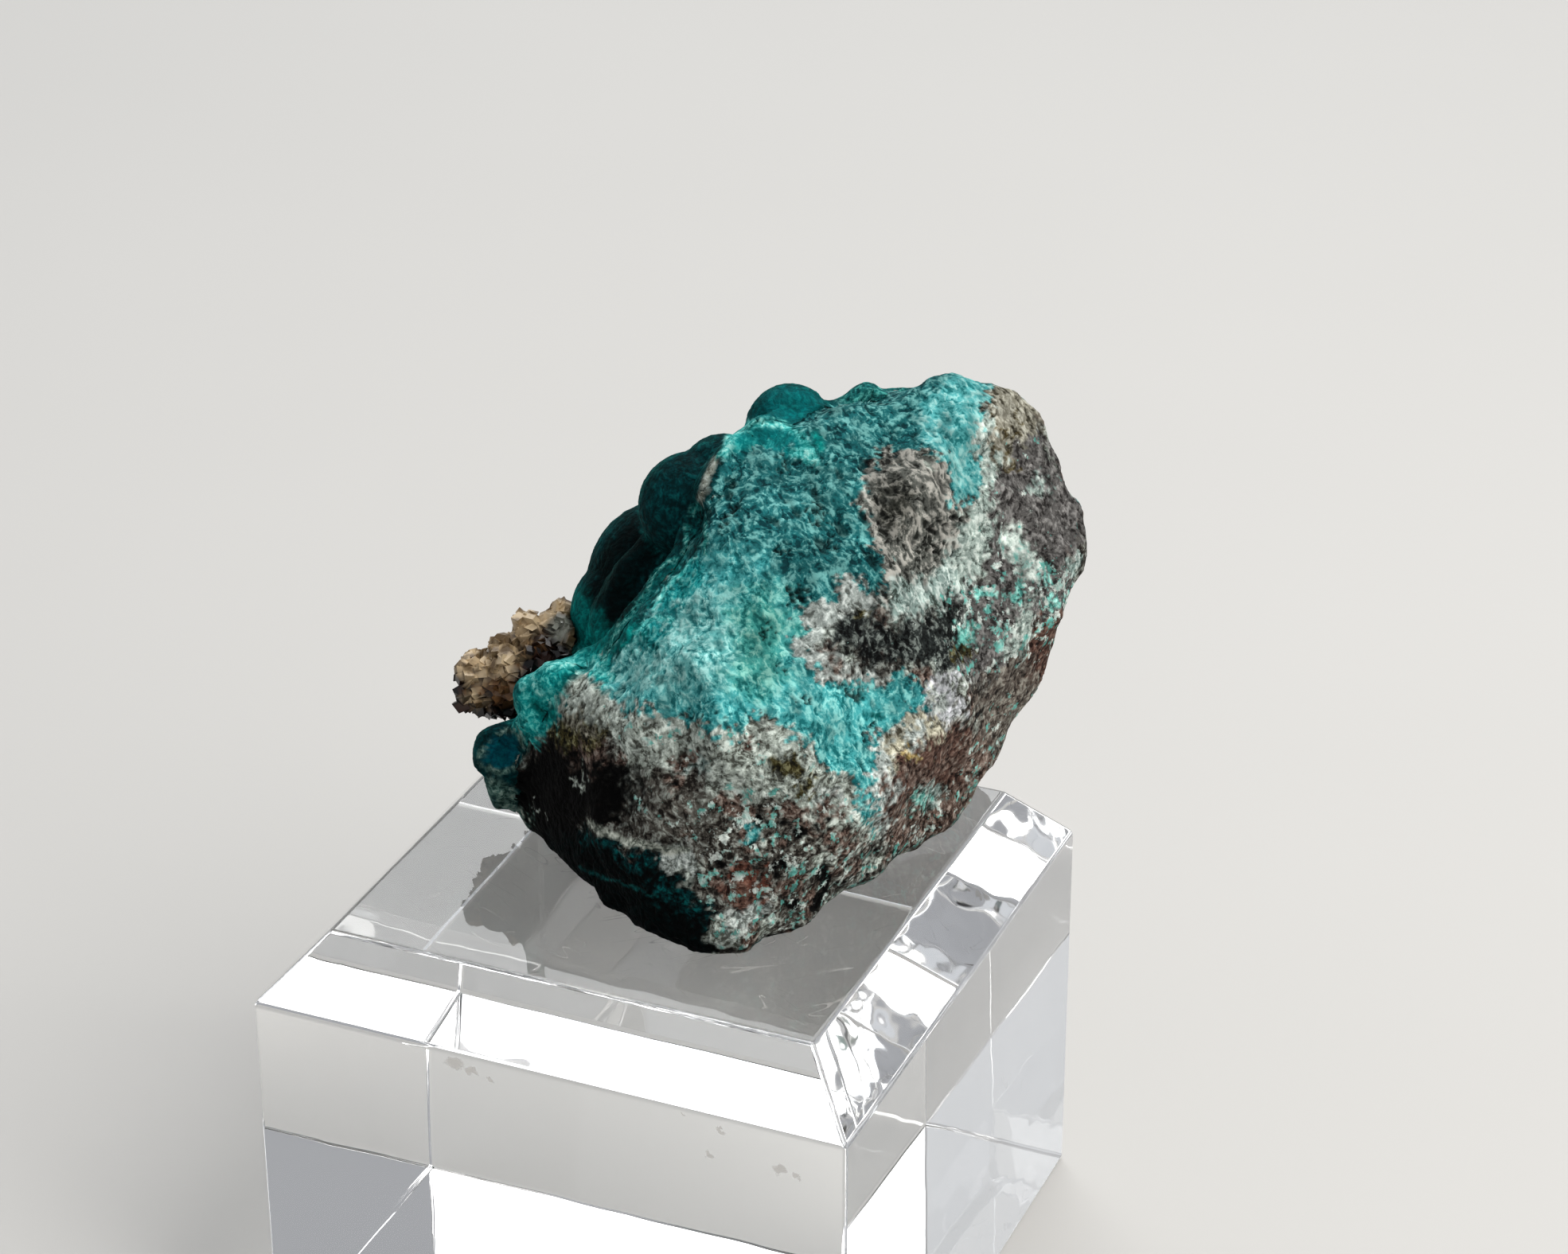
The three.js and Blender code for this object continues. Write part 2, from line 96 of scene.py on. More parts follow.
# Each finish is three screen colours: for its hollows, its body and its crests.
# The hollow colour is partly painted shade, and the crest colour partly a painted highlight.
COLOUR_LAYERS = ("hollow_colour", "body_colour", "crest_colour")
FINISHES = {
    "coat": ((5, 48, 52), (24, 90, 92), (100, 160, 156)),
    # Next: a paler coat, partly a painted highlight where the face turns up to the light.
    "coat_bright": ((20, 98, 100), (62, 148, 149), (132, 202, 196)),
    "coat_green": ((20, 90, 86), (56, 134, 126), (122, 182, 168)),
    "coat_clean": ((28, 102, 103), (74, 150, 150), (136, 188, 183)),
    "coat_veil": ((38, 108, 109), (92, 160, 157), (152, 206, 200)),
    "heart": ((28, 29, 26), (82, 84, 79), (158, 156, 148)),
    "heart_dark": ((12, 13, 11), (44, 45, 40), (106, 105, 98)),
    "mint": ((54, 64, 59), (122, 141, 135), (190, 203, 196)),
    "pale": ((72, 74, 67), (142, 150, 141), (202, 211, 201)),
    "white": ((88, 93, 88), (148, 156, 151), (208, 215, 209)),
    "mint_white": ((84, 94, 88), (148, 163, 155), (204, 215, 206)),
    "lavender": ((96, 98, 98), (160, 162, 165), (214, 214, 220)),
    "cream": ((86, 82, 68), (152, 148, 128), (204, 200, 178)),
    "charcoal": ((5, 6, 6), (30, 34, 33), (104, 111, 106)),
    "grey": ((36, 34, 33), (82, 80, 78), (126, 124, 121)),
    "rock": ((26, 23, 20), (74, 71, 65), (142, 146, 138)),
    # Next: near-black rock, also laid on the foot as painted shade.
    "black": ((0, 0, 0), (1, 1, 1), (9, 9, 8)),
    # Next: the underside's teal coat painted nearly black, painted shade.
    "under_teal": ((0, 1, 1), (0, 4, 4), (0, 13, 13)),
    "glint_teal": ((0, 12, 14), (0, 44, 46), (4, 88, 88)),
    "rust": ((28, 18, 15), (78, 56, 48), (122, 98, 86)),
    "rust_red": ((38, 16, 12), (96, 56, 44), (140, 98, 82)),
    "edge_brown": ((34, 30, 27), (86, 78, 71), (140, 136, 126)),
    # Next: the front dome's teal, lighter where the light falls on it, painted light.
    "dome_lit": ((0, 96, 97), (6, 112, 112), (44, 144, 140)),
    "brown": ((32, 23, 19), (86, 70, 62), (140, 127, 117)),
    "tan": ((54, 51, 41), (116, 113, 100), (172, 170, 156)),
    "olive": ((14, 13, 6), (56, 51, 26), (120, 117, 84)),
    "speck_teal": ((60, 120, 112), (104, 176, 164), (164, 214, 202)),
    "ochre": ((110, 92, 52), (160, 140, 92), (200, 184, 140)),
    "olive_dark": ((24, 20, 12), (58, 50, 30), (110, 102, 76)),
    "velvet": ((0, 28, 30), (0, 42, 45), (4, 64, 65)),
    # Next: the velvet darkened in the deep hollow, painted shade.
    "velvet_deep": ((0, 8, 9), (0, 13, 14), (0, 22, 23)),
    # Next: the top dome's teal, lighter than the velvet where the light reaches it, painted light.
    "dome": ((0, 72, 74), (0, 86, 88), (6, 104, 103)),
    "slope": ((0, 80, 78), (0, 104, 100), (10, 128, 121)),
    "rim": ((0, 56, 57), (0, 74, 73), (10, 98, 95)),
    "rim_dark": ((0, 30, 32), (0, 52, 53), (6, 78, 76)),
    "rim_line": ((0, 44, 44), (2, 66, 65), (24, 92, 88)),
    "fold": ((0, 92, 94), (28, 134, 134), (92, 176, 170)),
    "ledge": ((0, 98, 98), (20, 136, 133), (84, 184, 175)),
    "ledge_edge": ((30, 130, 126), (84, 182, 176), (150, 218, 208)),
    "ruffle": ((0, 50, 52), (16, 92, 90), (72, 152, 143)),
    "pocket": ((0, 60, 72), (0, 76, 88), (2, 92, 100)),
    "pale_edge": ((30, 58, 54), (80, 110, 101), (128, 150, 139)),
    "rim_glint": ((8, 84, 82), (40, 124, 118), (112, 176, 166)),
    "sliver": ((96, 98, 88), (134, 140, 130), (158, 164, 156)),
    "bead": ((90, 96, 88), (158, 164, 152), (206, 210, 198)),
}

# Outlines of the patches on the display face, as seen from the eye, on the plane through the origin.
COAT = [
    (-11.2, 12.0), (-7.3, 14.5), (-2.4, 23.2), (2.4, 28.0), (7.3, 31.4), (18.0, 31.4), (18.7, 29.6),
    (18.9, 28.5), (19.2, 27.6), (18.9, 26.6), (18.4, 25.6), (18.5, 24.4), (18.7, 23.2), (18.5, 22.2),
    (18.0, 21.6), (17.3, 21.3), (16.8, 21.7), (16.6, 22.6), (16.5, 23.4), (16.2, 24.3), (15.5, 24.8),
    (14.0, 24.6), (12.8, 24.7), (12.1, 24.6), (11.6, 23.8), (11.5, 22.9), (11.1, 22.1), (11.5, 21.3),
    (11.6, 20.3), (11.8, 19.4), (12.4, 18.8), (12.7, 18.3), (12.3, 17.6), (12.5, 16.6), (12.1, 16.2),
    (11.4, 16.5), (10.7, 17.0), (9.9, 16.7), (9.2, 15.8), (8.2, 15.7), (7.6, 15.2), (7.3, 14.2),
    (7.4, 13.0), (7.7, 12.0), (8.5, 11.2), (9.7, 10.7), (10.9, 10.7), (12.1, 10.6), (13.3, 10.7),
    (14.2, 11.2), (14.9, 10.6), (15.1, 9.6), (14.7, 8.8), (13.8, 8.5), (13.0, 7.9), (12.3, 7.2),
    (12.0, 6.0), (11.7, 4.5), (11.4, 3.2), (11.0, 3.9), (10.7, 5.0), (9.9, 5.8), (9.0, 6.0), (8.0, 6.7),
    (7.3, 7.6), (6.5, 8.2), (5.3, 8.7), (4.4, 8.4), (3.9, 7.4), (3.1, 7.4), (2.2, 8.0), (1.1, 8.4),
    (0.0, 8.7), (-1.2, 9.0), (-2.4, 9.2), (-3.6, 9.3), (-4.5, 9.8), (-5.1, 10.5), (-5.6, 11.0),
    (-6.3, 11.1), (-6.9, 10.6), (-7.1, 9.6), (-7.3, 8.4), (-8.2, 7.9), (-10.2, 5.7), (-12.1, 5.7),
]
# Where the coat is paler: partly its own tone, partly a painted highlight where the face turns up to the
# light.
COAT_PALE_AND_LIT = [
    (1.4, 18.8), (4.4, 18.8), (6.5, 16.4), (7.5, 14.0), (7.7, 11.4), (10.5, 10.8), (13.5, 10.8),
    (15.0, 9.8), (13.4, 8.4), (11.9, 7.0), (11.4, 3.3), (9.7, 5.5), (7.3, 7.4), (2.4, 7.9), (-2.4, 9.1),
    (-4.9, 10.1), (-4.4, 11.8), (-1.5, 12.8), (0.0, 15.0),
]
COAT_CLEAN = [
    (15.0, 28.0), (17.0, 29.5), (18.9, 29.0), (19.2, 27.5), (18.8, 23.2), (17.4, 21.3), (16.6, 23.2),
    (16.0, 25.1), (14.5, 26.1),
]
HEART = [
    (11.7, 23.7), (12.6, 24.4), (14.0, 24.4), (15.3, 24.6), (16.1, 24.0), (16.4, 23.2), (16.6, 22.0),
    (17.1, 21.2), (18.0, 21.3), (18.6, 21.8), (18.9, 23.2), (18.7, 25.1), (19.2, 26.2), (19.5, 25.1),
    (19.2, 23.7), (18.9, 21.7), (19.0, 20.3), (18.8, 18.8), (18.2, 17.6), (17.7, 16.6), (17.0, 16.1),
    (16.0, 15.9), (15.0, 15.0), (14.0, 14.6), (13.0, 14.9), (12.3, 15.6), (12.6, 16.7), (12.4, 17.8),
    (12.8, 18.3), (12.1, 19.1), (11.7, 20.3), (11.4, 21.3), (11.2, 22.0), (11.6, 22.8),
]
HEART_DARK = [
    (12.5, 23.2), (13.8, 23.2), (14.5, 22.0), (14.3, 20.5), (13.3, 20.2), (12.3, 20.8), (12.5, 22.0),
]
HEART_MINT = [
    (12.6, 16.2), (13.6, 16.8), (15.0, 17.1), (16.5, 18.3), (17.7, 20.3), (18.5, 21.3), (19.1, 20.3),
    (18.7, 18.3), (17.7, 16.4), (16.0, 15.7), (14.5, 14.6), (12.8, 14.7),
]
PALE_LEFT = [
    (7.5, 14.9), (8.1, 15.6), (9.4, 15.8), (10.2, 16.7), (11.0, 17.0), (11.9, 16.2), (12.2, 15.4),
    (11.8, 14.7), (10.7, 15.0), (9.7, 14.5), (9.1, 14.0), (8.8, 13.0), (9.3, 12.0), (10.3, 11.6),
    (11.6, 11.5), (13.2, 11.1), (12.1, 10.6), (10.2, 10.8), (8.6, 11.3), (7.8, 12.0), (7.4, 13.5),
]
PALE_BAND = [
    (-7.2, 9.2), (-6.2, 9.0), (-5.1, 9.5), (-3.9, 9.3), (-2.4, 9.1), (0.0, 8.7), (2.2, 8.0), (3.9, 7.3),
    (4.5, 8.4), (6.5, 8.2), (7.3, 7.5), (8.7, 6.0), (9.9, 5.7), (10.7, 4.9), (11.1, 3.7), (12.0, 2.1),
    (12.3, 1.3), (10.9, 1.4), (9.3, 2.1), (7.8, 2.9), (6.5, 3.5), (4.8, 3.6), (3.5, 3.9), (2.4, 4.4),
    (1.4, 5.0), (0.0, 5.4), (-1.5, 5.5), (-2.7, 5.9), (-3.4, 6.8), (-4.4, 7.6), (-5.7, 8.3),
]
PALE_TONGUE = [
    (12.0, 6.7), (13.0, 7.8), (14.0, 8.4), (14.9, 8.9), (15.2, 10.3), (16.2, 11.0), (17.2, 10.4),
    (17.5, 9.1), (17.3, 7.9), (16.7, 6.5), (15.6, 6.0), (14.6, 5.7), (14.0, 5.0), (13.5, 4.1),
    (13.1, 3.2), (13.0, 1.9), (12.4, 1.6), (11.7, 2.4), (11.5, 3.6), (11.8, 5.4),
]
CHARCOAL = [
    (9.2, 14.0), (10.0, 14.6), (11.4, 15.3), (12.1, 15.1), (12.6, 14.2), (13.4, 14.2), (14.1, 14.5),
    (15.3, 14.7), (16.2, 15.7), (17.2, 16.0), (17.9, 15.4), (17.7, 14.2), (17.2, 13.5), (17.1, 12.0),
    (16.8, 11.0), (16.0, 11.2), (15.3, 11.8), (14.0, 11.6), (12.8, 11.8), (11.4, 12.2), (10.2, 12.4),
    (9.4, 12.8),
]
GREY_SIDE = [
    (19.3, 25.8), (20.2, 26.4), (21.3, 25.9), (22.4, 25.2), (23.8, 23.7), (25.0, 21.3), (25.5, 19.3),
    (23.3, 18.3), (22.2, 18.8), (21.3, 19.9), (20.7, 20.7), (20.0, 20.2), (19.8, 18.8), (20.1, 17.3),
    (19.4, 16.5), (18.6, 17.1), (18.9, 18.8), (19.2, 20.8), (19.0, 22.7),
]
WHITE_STRIP = [
    (18.4, 26.6), (18.5, 25.1), (18.5, 23.2), (18.3, 21.8), (17.6, 21.0), (17.6, 19.6), (16.9, 18.4),
    (16.6, 16.8), (17.6, 16.4), (18.4, 17.6), (19.0, 19.3), (19.2, 21.4), (19.5, 23.2), (19.4, 25.3),
    (19.4, 26.8),
]
GREY_VEIN = [
    (20.0, 20.1), (21.1, 20.3), (21.9, 18.8), (21.9, 17.0), (20.8, 17.0), (20.2, 18.3),
]
RIGHT_WHITE = [
    (19.9, 13.5), (20.6, 15.2), (21.9, 15.5), (21.8, 14.0), (20.8, 12.2), (20.0, 12.4),
]
LAVENDER = [(14.9, 10.6), (15.7, 11.2), (17.2, 10.8), (17.5, 9.1), (16.7, 8.3), (15.3, 8.4)]
TONGUE_CREAM = [
    (13.4, 7.8), (14.6, 8.6), (16.2, 8.6), (17.0, 7.4), (16.9, 6.2), (15.5, 5.8), (14.2, 5.4),
    (13.2, 5.0), (12.6, 6.4),
]
GREY_LOWER = [(18.5, 15.1), (19.9, 16.0), (20.9, 15.1), (20.4, 13.9), (19.4, 13.4), (18.5, 13.9)]
# The dark foot at the lower left: dark rock, made near black partly as painted shade where it turns down
# and away.
SHADED_BLACK_FOOT = [
    (-8.6, 7.0), (-7.3, 7.7), (-5.6, 7.3), (-4.6, 6.4), (-3.5, 5.6), (-2.4, 4.8), (-2.0, 3.9),
    (-2.2, 3.1), (-3.4, 2.7), (-4.6, 2.6), (-5.4, 2.1), (-5.3, 0.9), (-7.3, -0.1), (-9.2, 1.1),
    (-11.0, 2.8), (-11.0, 4.8), (-9.5, 6.2),
]
BAND_DARK = [
    (-3.0, 5.5), (-0.9, 4.6), (0.9, 3.6), (2.5, 2.5), (1.6, 1.4), (0.0, 1.3), (-2.4, 1.8), (-3.4, 2.5),
    (-2.4, 3.4),
]
UNDER_BLOB = [(-0.7, 0.9), (0.7, 0.7), (0.9, -0.5), (0.1, -1.1), (-0.2, -0.2), (-0.7, 0.1)]
RUST_SPOT = [(3.1, -1.0), (4.1, -0.7), (5.1, -1.0), (5.4, -2.0), (4.6, -2.7), (3.5, -2.5)]
RUST_BAND = [
    (13.3, 6.0), (14.5, 7.0), (16.2, 7.2), (17.0, 8.4), (17.5, 7.4), (17.7, 6.2), (16.5, 5.5),
    (15.5, 4.5), (14.0, 3.3), (13.1, 1.9), (13.0, 3.3), (13.6, 4.5),
]
EDGE_BROWN = [
    (15.5, 4.6), (16.6, 6.2), (17.8, 7.6), (18.4, 9.6), (19.4, 11.6), (20.8, 12.4), (22.4, 11.0),
    (21.0, 7.6), (18.6, 4.2), (16.4, 3.0),
]
# The teal coat on the underside, painted nearly black as painted shade.
UNDER_TEAL_SHADED = [
    (-5.4, 1.9), (-3.9, 1.3), (-1.9, 0.5), (0.0, 0.0), (0.6, -1.0), (0.9, -2.1), (2.3, -3.0), (2.6, -4.2),
    (2.4, -6.5), (-0.5, -6.5), (-5.4, -4.5), (-9.3, -1.5), (-8.8, 0.6), (-6.6, 1.6),
]
RUST_EDGE = [
    (21.3, 13.5), (22.3, 14.5), (25.0, 15.0), (25.0, 13.5), (22.6, 11.0), (20.8, 9.6), (20.0, 11.1),
    (20.6, 12.5),
]
BROWN_TIP = [
    (13.8, 4.3), (14.0, 5.4), (15.3, 5.8), (17.0, 6.3), (18.2, 7.2), (19.8, 5.7), (19.0, 3.4),
    (16.0, 1.8), (14.0, 0.3), (13.1, 1.4), (13.5, 2.8), (15.0, 3.4), (14.5, 4.3),
]
TAN_TOP = [
    (18.9, 29.4), (20.0, 29.6), (22.4, 28.0), (22.0, 26.1), (20.8, 25.1), (20.0, 23.7), (19.2, 23.7),
    (19.2, 26.1), (19.4, 27.3),
]
OLIVE = [(-7.8, 7.9), (-6.6, 8.7), (-5.1, 8.4), (-4.4, 7.4), (-5.3, 6.5), (-7.0, 6.7)]
SPECKS_RIGHT = [
    (16.0, 16.4), (18.9, 16.9), (20.3, 20.8), (21.8, 18.8), (23.7, 18.3), (25.2, 15.4), (22.3, 12.0),
    (18.4, 10.6), (17.0, 11.1), (17.2, 13.5),
]
SPECKS_FOOT = [
    (1.4, 3.8), (5.3, 3.3), (7.7, 2.4), (10.2, 0.9), (12.6, 0.9), (16.0, 3.8), (18.9, 8.7), (21.3, 11.1),
    (23.3, 10.7), (19.9, 3.8), (15.0, -1.1), (10.2, -3.5), (5.3, -5.4), (2.4, -5.9), (1.0, -1.0),
    (1.4, 1.4),
]
LEDGE = [
    (-9.6, 11.5), (-7.2, 13.0), (-4.2, 12.4), (-4.2, 9.6), (-5.6, 10.9), (-6.6, 10.9), (-7.1, 9.6),
    (-7.3, 7.8), (-9.2, 7.0), (-10.2, 8.6), (-9.8, 10.2),
]
LEDGE_GREY = [
    (-7.2, 9.9), (-6.4, 10.9), (-5.0, 10.9), (-3.7, 9.6), (-4.1, 8.4), (-5.6, 8.7), (-6.7, 8.4),
]
LEDGE_CREAM = [(-6.6, 8.8), (-5.6, 8.4), (-5.3, 7.4), (-6.1, 7.4), (-6.5, 8.1)]
LEDGE_BROWN = [(-6.1, 7.4), (-4.9, 7.4), (-4.4, 5.7), (-5.6, 5.5), (-6.6, 6.5)]
SLOPE = [
    (-7.6, 13.4), (-6.5, 16.2), (-5.2, 16.5), (-2.5, 15.8), (-2.7, 13.6), (-4.4, 12.0), (-6.5, 12.2),
]
# Dome C and the deep hollow by it, where the velvet is painted darker as painted shade.
SHADED_HOLLOW = [
    (-5.7, 15.9), (-4.9, 18.3), (-2.9, 21.3), (-2.3, 20.6), (-1.9, 19.6), (-0.7, 18.4), (-1.9, 16.7),
    (-2.8, 14.9), (-3.7, 13.9), (-5.1, 15.4),
]
POCKET = [
    (-11.8, 6.0), (-11.6, 6.7), (-11.3, 7.2), (-10.5, 7.5), (-9.7, 7.7), (-9.6, 6.5), (-10.1, 5.6),
    (-10.8, 5.5),
]
SIDE_GREEN = [
    (-11.8, 4.5), (-11.4, 5.0), (-10.2, 4.5), (-9.6, 3.3), (-9.1, 2.1), (-9.6, 1.4), (-10.4, 2.4),
    (-11.3, 3.6),
]
# Where the coat runs on from the rock over the crust, and the bare rim beside it.
COAT_ON_CRUST = [
    (-4.5, 11.5), (-4.3, 11.9), (-3.5, 12.4), (-2.4, 13.7), (-1.7, 14.7), (-1.1, 16.0), (-0.3, 16.9),
    (0.9, 18.0), (1.6, 18.5), (1.4, 19.3), (1.3, 20.3), (1.7, 21.3), (2.2, 22.3), (2.7, 23.7),
    (3.1, 24.8), (3.9, 25.5), (4.6, 25.3), (5.6, 24.8), (6.8, 24.2), (8.0, 23.7), (9.0, 23.9),
    (8.7, 25.1), (8.3, 25.9), (9.0, 27.1), (10.2, 27.6), (11.9, 27.7), (13.6, 28.2), (15.3, 28.0),
    (16.5, 27.7), (19.9, 28.0), (19.9, 8.7), (2.4, 3.8), (-3.0, 7.0), (-3.6, 9.6),
]
RIM_BAND = [
    (-4.6, 11.6), (-4.5, 12.1), (-4.2, 12.7), (-3.8, 13.6), (-3.1, 14.6), (-2.3, 15.4), (-1.9, 16.3),
    (-1.3, 17.4), (-0.5, 18.1), (0.3, 18.5), (0.7, 18.9), (1.2, 18.2), (0.6, 17.8), (0.1, 17.3),
    (-0.4, 16.8), (-0.8, 16.3), (-1.1, 15.7), (-1.4, 15.1), (-1.8, 14.4), (-2.5, 13.7), (-3.2, 12.8),
    (-3.9, 11.9),
]
RIM_STRIP = [
    (0.6, 19.0), (0.7, 20.1), (1.0, 20.9), (1.4, 21.6), (1.8, 20.9), (1.7, 20.0), (1.8, 19.3),
    (1.8, 18.5), (1.3, 18.2),
]
INNER_FOLD = [
    (-1.2, 15.4), (-0.4, 16.8), (0.6, 17.8), (1.3, 18.2), (1.6, 17.0), (1.2, 15.6), (0.2, 14.9),
    (-0.7, 14.7),
]
LOWER_FOLD = [(-2.6, 13.5), (-1.8, 14.4), (-0.2, 14.4), (-0.6, 13.6), (-1.6, 13.0), (-2.4, 12.9)]
# Dome A2 at the crust's front, given a lighter teal as painted light.
FRONT_DOME = [
    (3.0, 24.6), (3.4, 25.7), (4.4, 26.4), (5.5, 26.7), (6.5, 26.5), (7.4, 25.9), (7.9, 25.3),
    (8.3, 24.6), (7.3, 24.7), (6.0, 24.9), (4.8, 25.0), (3.9, 24.7),
]
COAT_VEIL = [(-4.0, 12.6), (-0.9, 15.0), (2.3, 16.5), (3.5, 13.9), (2.3, 10.3), (-1.5, 9.8), (-3.8, 11.0)]
COAT_GREEN = [
    (3.9, 16.4), (6.3, 16.4), (7.3, 14.0), (6.8, 11.1), (4.8, 9.6), (2.9, 11.1), (2.7, 14.0),
]
UNDER_GLINTS = [
    [(-5.1, 1.6), (-2.9, 0.7), (-0.7, -0.3), (-1.2, -0.8), (-3.4, -0.3), (-5.1, 0.7)],
    [(-1.2, -1.5), (0.7, -2.2), (1.9, -3.5), (1.4, -3.9), (-0.3, -3.0), (-1.5, -2.2)],
]
CORNER_WHITE = [
    (2.7, -3.5), (3.6, -3.0), (5.3, -2.5), (5.6, -3.5), (3.9, -4.2), (3.1, -5.4), (2.7, -4.9),
]
# The lighter parts of the calcite, laid partly where the light falls on it.
# Elsewhere it is nearly black: its own dark crystals, and painted shade where the light doesn't reach.
CALCITE_TONES = {
    "tan_share": [
        [(-12.5, 10.8), (-11.2, 11.1), (-9.9, 10.8), (-9.4, 10.3), (-9.3, 9.8), (-9.8, 9.4),
         (-10.9, 9.6), (-11.7, 9.2), (-12.3, 9.5)],
        [(-10.2, 12.4), (-9.2, 13.7), (-8.2, 13.9), (-8.0, 12.9), (-9.2, 12.6), (-9.6, 11.6)],
    ],
    "cream_share": [
        [(-12.0, 13.2), (-11.2, 14.9), (-10.2, 16.1), (-8.6, 17.0), (-6.8, 17.6), (-5.0, 17.8),
         (-4.4, 15.8), (-5.6, 14.6), (-7.2, 14.9), (-8.0, 14.2), (-8.6, 13.9), (-9.2, 13.5),
         (-9.9, 12.3), (-10.7, 12.2)],
        [(-6.9, 13.5), (-6.3, 14.0), (-5.8, 14.0), (-5.4, 13.0), (-5.9, 12.7), (-6.9, 13.2)],
        [(-13.6, 11.3), (-13.2, 12.4), (-12.5, 13.3), (-11.4, 13.2), (-9.8, 12.1), (-9.7, 11.4),
         (-10.1, 11.0), (-11.2, 11.1), (-12.3, 10.7)],
        [(-13.0, 10.2), (-12.6, 10.4), (-12.2, 9.9), (-11.7, 9.6), (-11.7, 9.2), (-12.3, 9.2),
         (-12.7, 9.6)],
        [(-9.8, 10.4), (-9.3, 10.4), (-9.3, 10.0), (-9.7, 10.0)],
    ],
    "grey_share": [
        [(-7.8, 14.4), (-7.3, 14.8), (-6.5, 14.6), (-6.2, 14.1), (-6.8, 13.4), (-7.4, 13.3)],
        [(-5.4, 12.8), (-4.4, 13.1), (-4.3, 12.0), (-5.1, 11.9)],
    ],
}
# Small spots of other minerals: place on the display face, radius and finish.
SPOTS = [
    ((11.6, 2.5), 0.7, "coat_bright"), ((15.3, 3.8), 0.9, "mint"), ((22.3, 22.6), 0.6, "mint"),
    ((16.0, 9.6), 0.9, "white"), ((9.2, 3.7), 0.8, "white"), ((14.5, 7.3), 0.8, "white"),
    ((4.4, 1.9), 0.7, "coat_clean"), ((0.1, -0.2), 0.9, "white"), ((2.8, -4.5), 0.9, "pale"),
    ((1.0, 5.5), 0.6, "mint"), ((16.2, 15.4), 0.5, "mint"), ((4.1, -2.0), 0.9, "rust"),
    ((-9.7, 2.3), 0.35, "bead"), ((-6.1, 4.9), 0.3, "pale"), ((-8.2, 2.8), 0.22, "pale"),
    ((-9.3, 9.3), 0.5, "pale_edge"), ((-7.9, 8.9), 0.4, "rim"), ((13.6, 7.6), 0.5, "tan"),
    ((6.8, 2.9), 0.9, "brown"), ((9.2, 3.0), 0.8, "brown"), ((10.3, 0.5), 1.0, "brown"),
    ((12.6, 4.5), 0.5, "brown"), ((0.6, 6.1), 0.6, "brown"), ((4.3, 6.8), 0.4, "brown"),
    ((14.3, 6.5), 0.5, "tan"), ((17.4, 12.6), 0.6, "olive"), ((11.2, 15.0), 0.5, "olive"),
    ((6.6, 5.4), 0.9, "olive"), ((8.0, 4.4), 0.7, "olive"),
    ((22.3, 22.5), 0.45, "mint_white"), ((24.2, 17.8), 0.6, "mint"), ((20.9, 16.2), 0.5, "speck_teal"),
    ((18.8, 15.8), 0.5, "speck_teal"), ((23.1, 15.8), 0.5, "speck_teal"),
    ((22.4, 17.1), 0.35, "speck_teal"), ((17.7, 13.5), 0.7, "speck_teal"),
    ((17.5, 12.6), 0.5, "olive"), ((14.3, 6.4), 0.35, "ochre"),
    ((14.9, 3.4), 0.6, "speck_teal"), ((16.4, 4.9), 0.8, "rust"), ((17.0, 7.2), 0.5, "rust"),
    ((20.4, 25.7), 0.4, "olive_dark"), ((19.7, 26.2), 0.3, "olive_dark"),
    ((20.2, 23.8), 0.4, "olive_dark"), ((19.8, 24.6), 0.35, "olive_dark"),
    ((20.9, 26.6), 0.35, "olive_dark"), ((0.5, 15.8), 0.5, "coat_veil"),
    ((-1.9, 13.5), 0.35, "rim"), ((15.4, 10.3), 0.3, "bead"), ((12.2, 8.6), 0.4, "rim"),
]
# Open pits in the face, sunk and darkened as painted shade: place and radius.
PITS = [
    ((8.4, 21.1), 0.35), ((8.8, 20.5), 0.4), ((16.0, 20.0), 0.45), ((15.5, 18.9), 0.3),
    ((16.8, 18.2), 0.3), ((17.1, 20.9), 0.3), ((7.0, 24.0), 0.4), ((3.6, 21.4), 0.35),
    ((7.4, 16.2), 0.5), ((12.7, 20.5), 0.35),
    ((11.0, 9.9), 0.5), ((11.7, 7.6), 0.45), ((6.5, 11.5), 0.25), ((5.6, 14.0), 0.25), ((7.6, 9.4), 0.2),
    ((2.7, 8.4), 0.25), ((1.4, 8.8), 0.25), ((2.7, 20.3), 0.4), ((9.6, 19.2), 0.3), ((6.6, 18.6), 0.3),
]
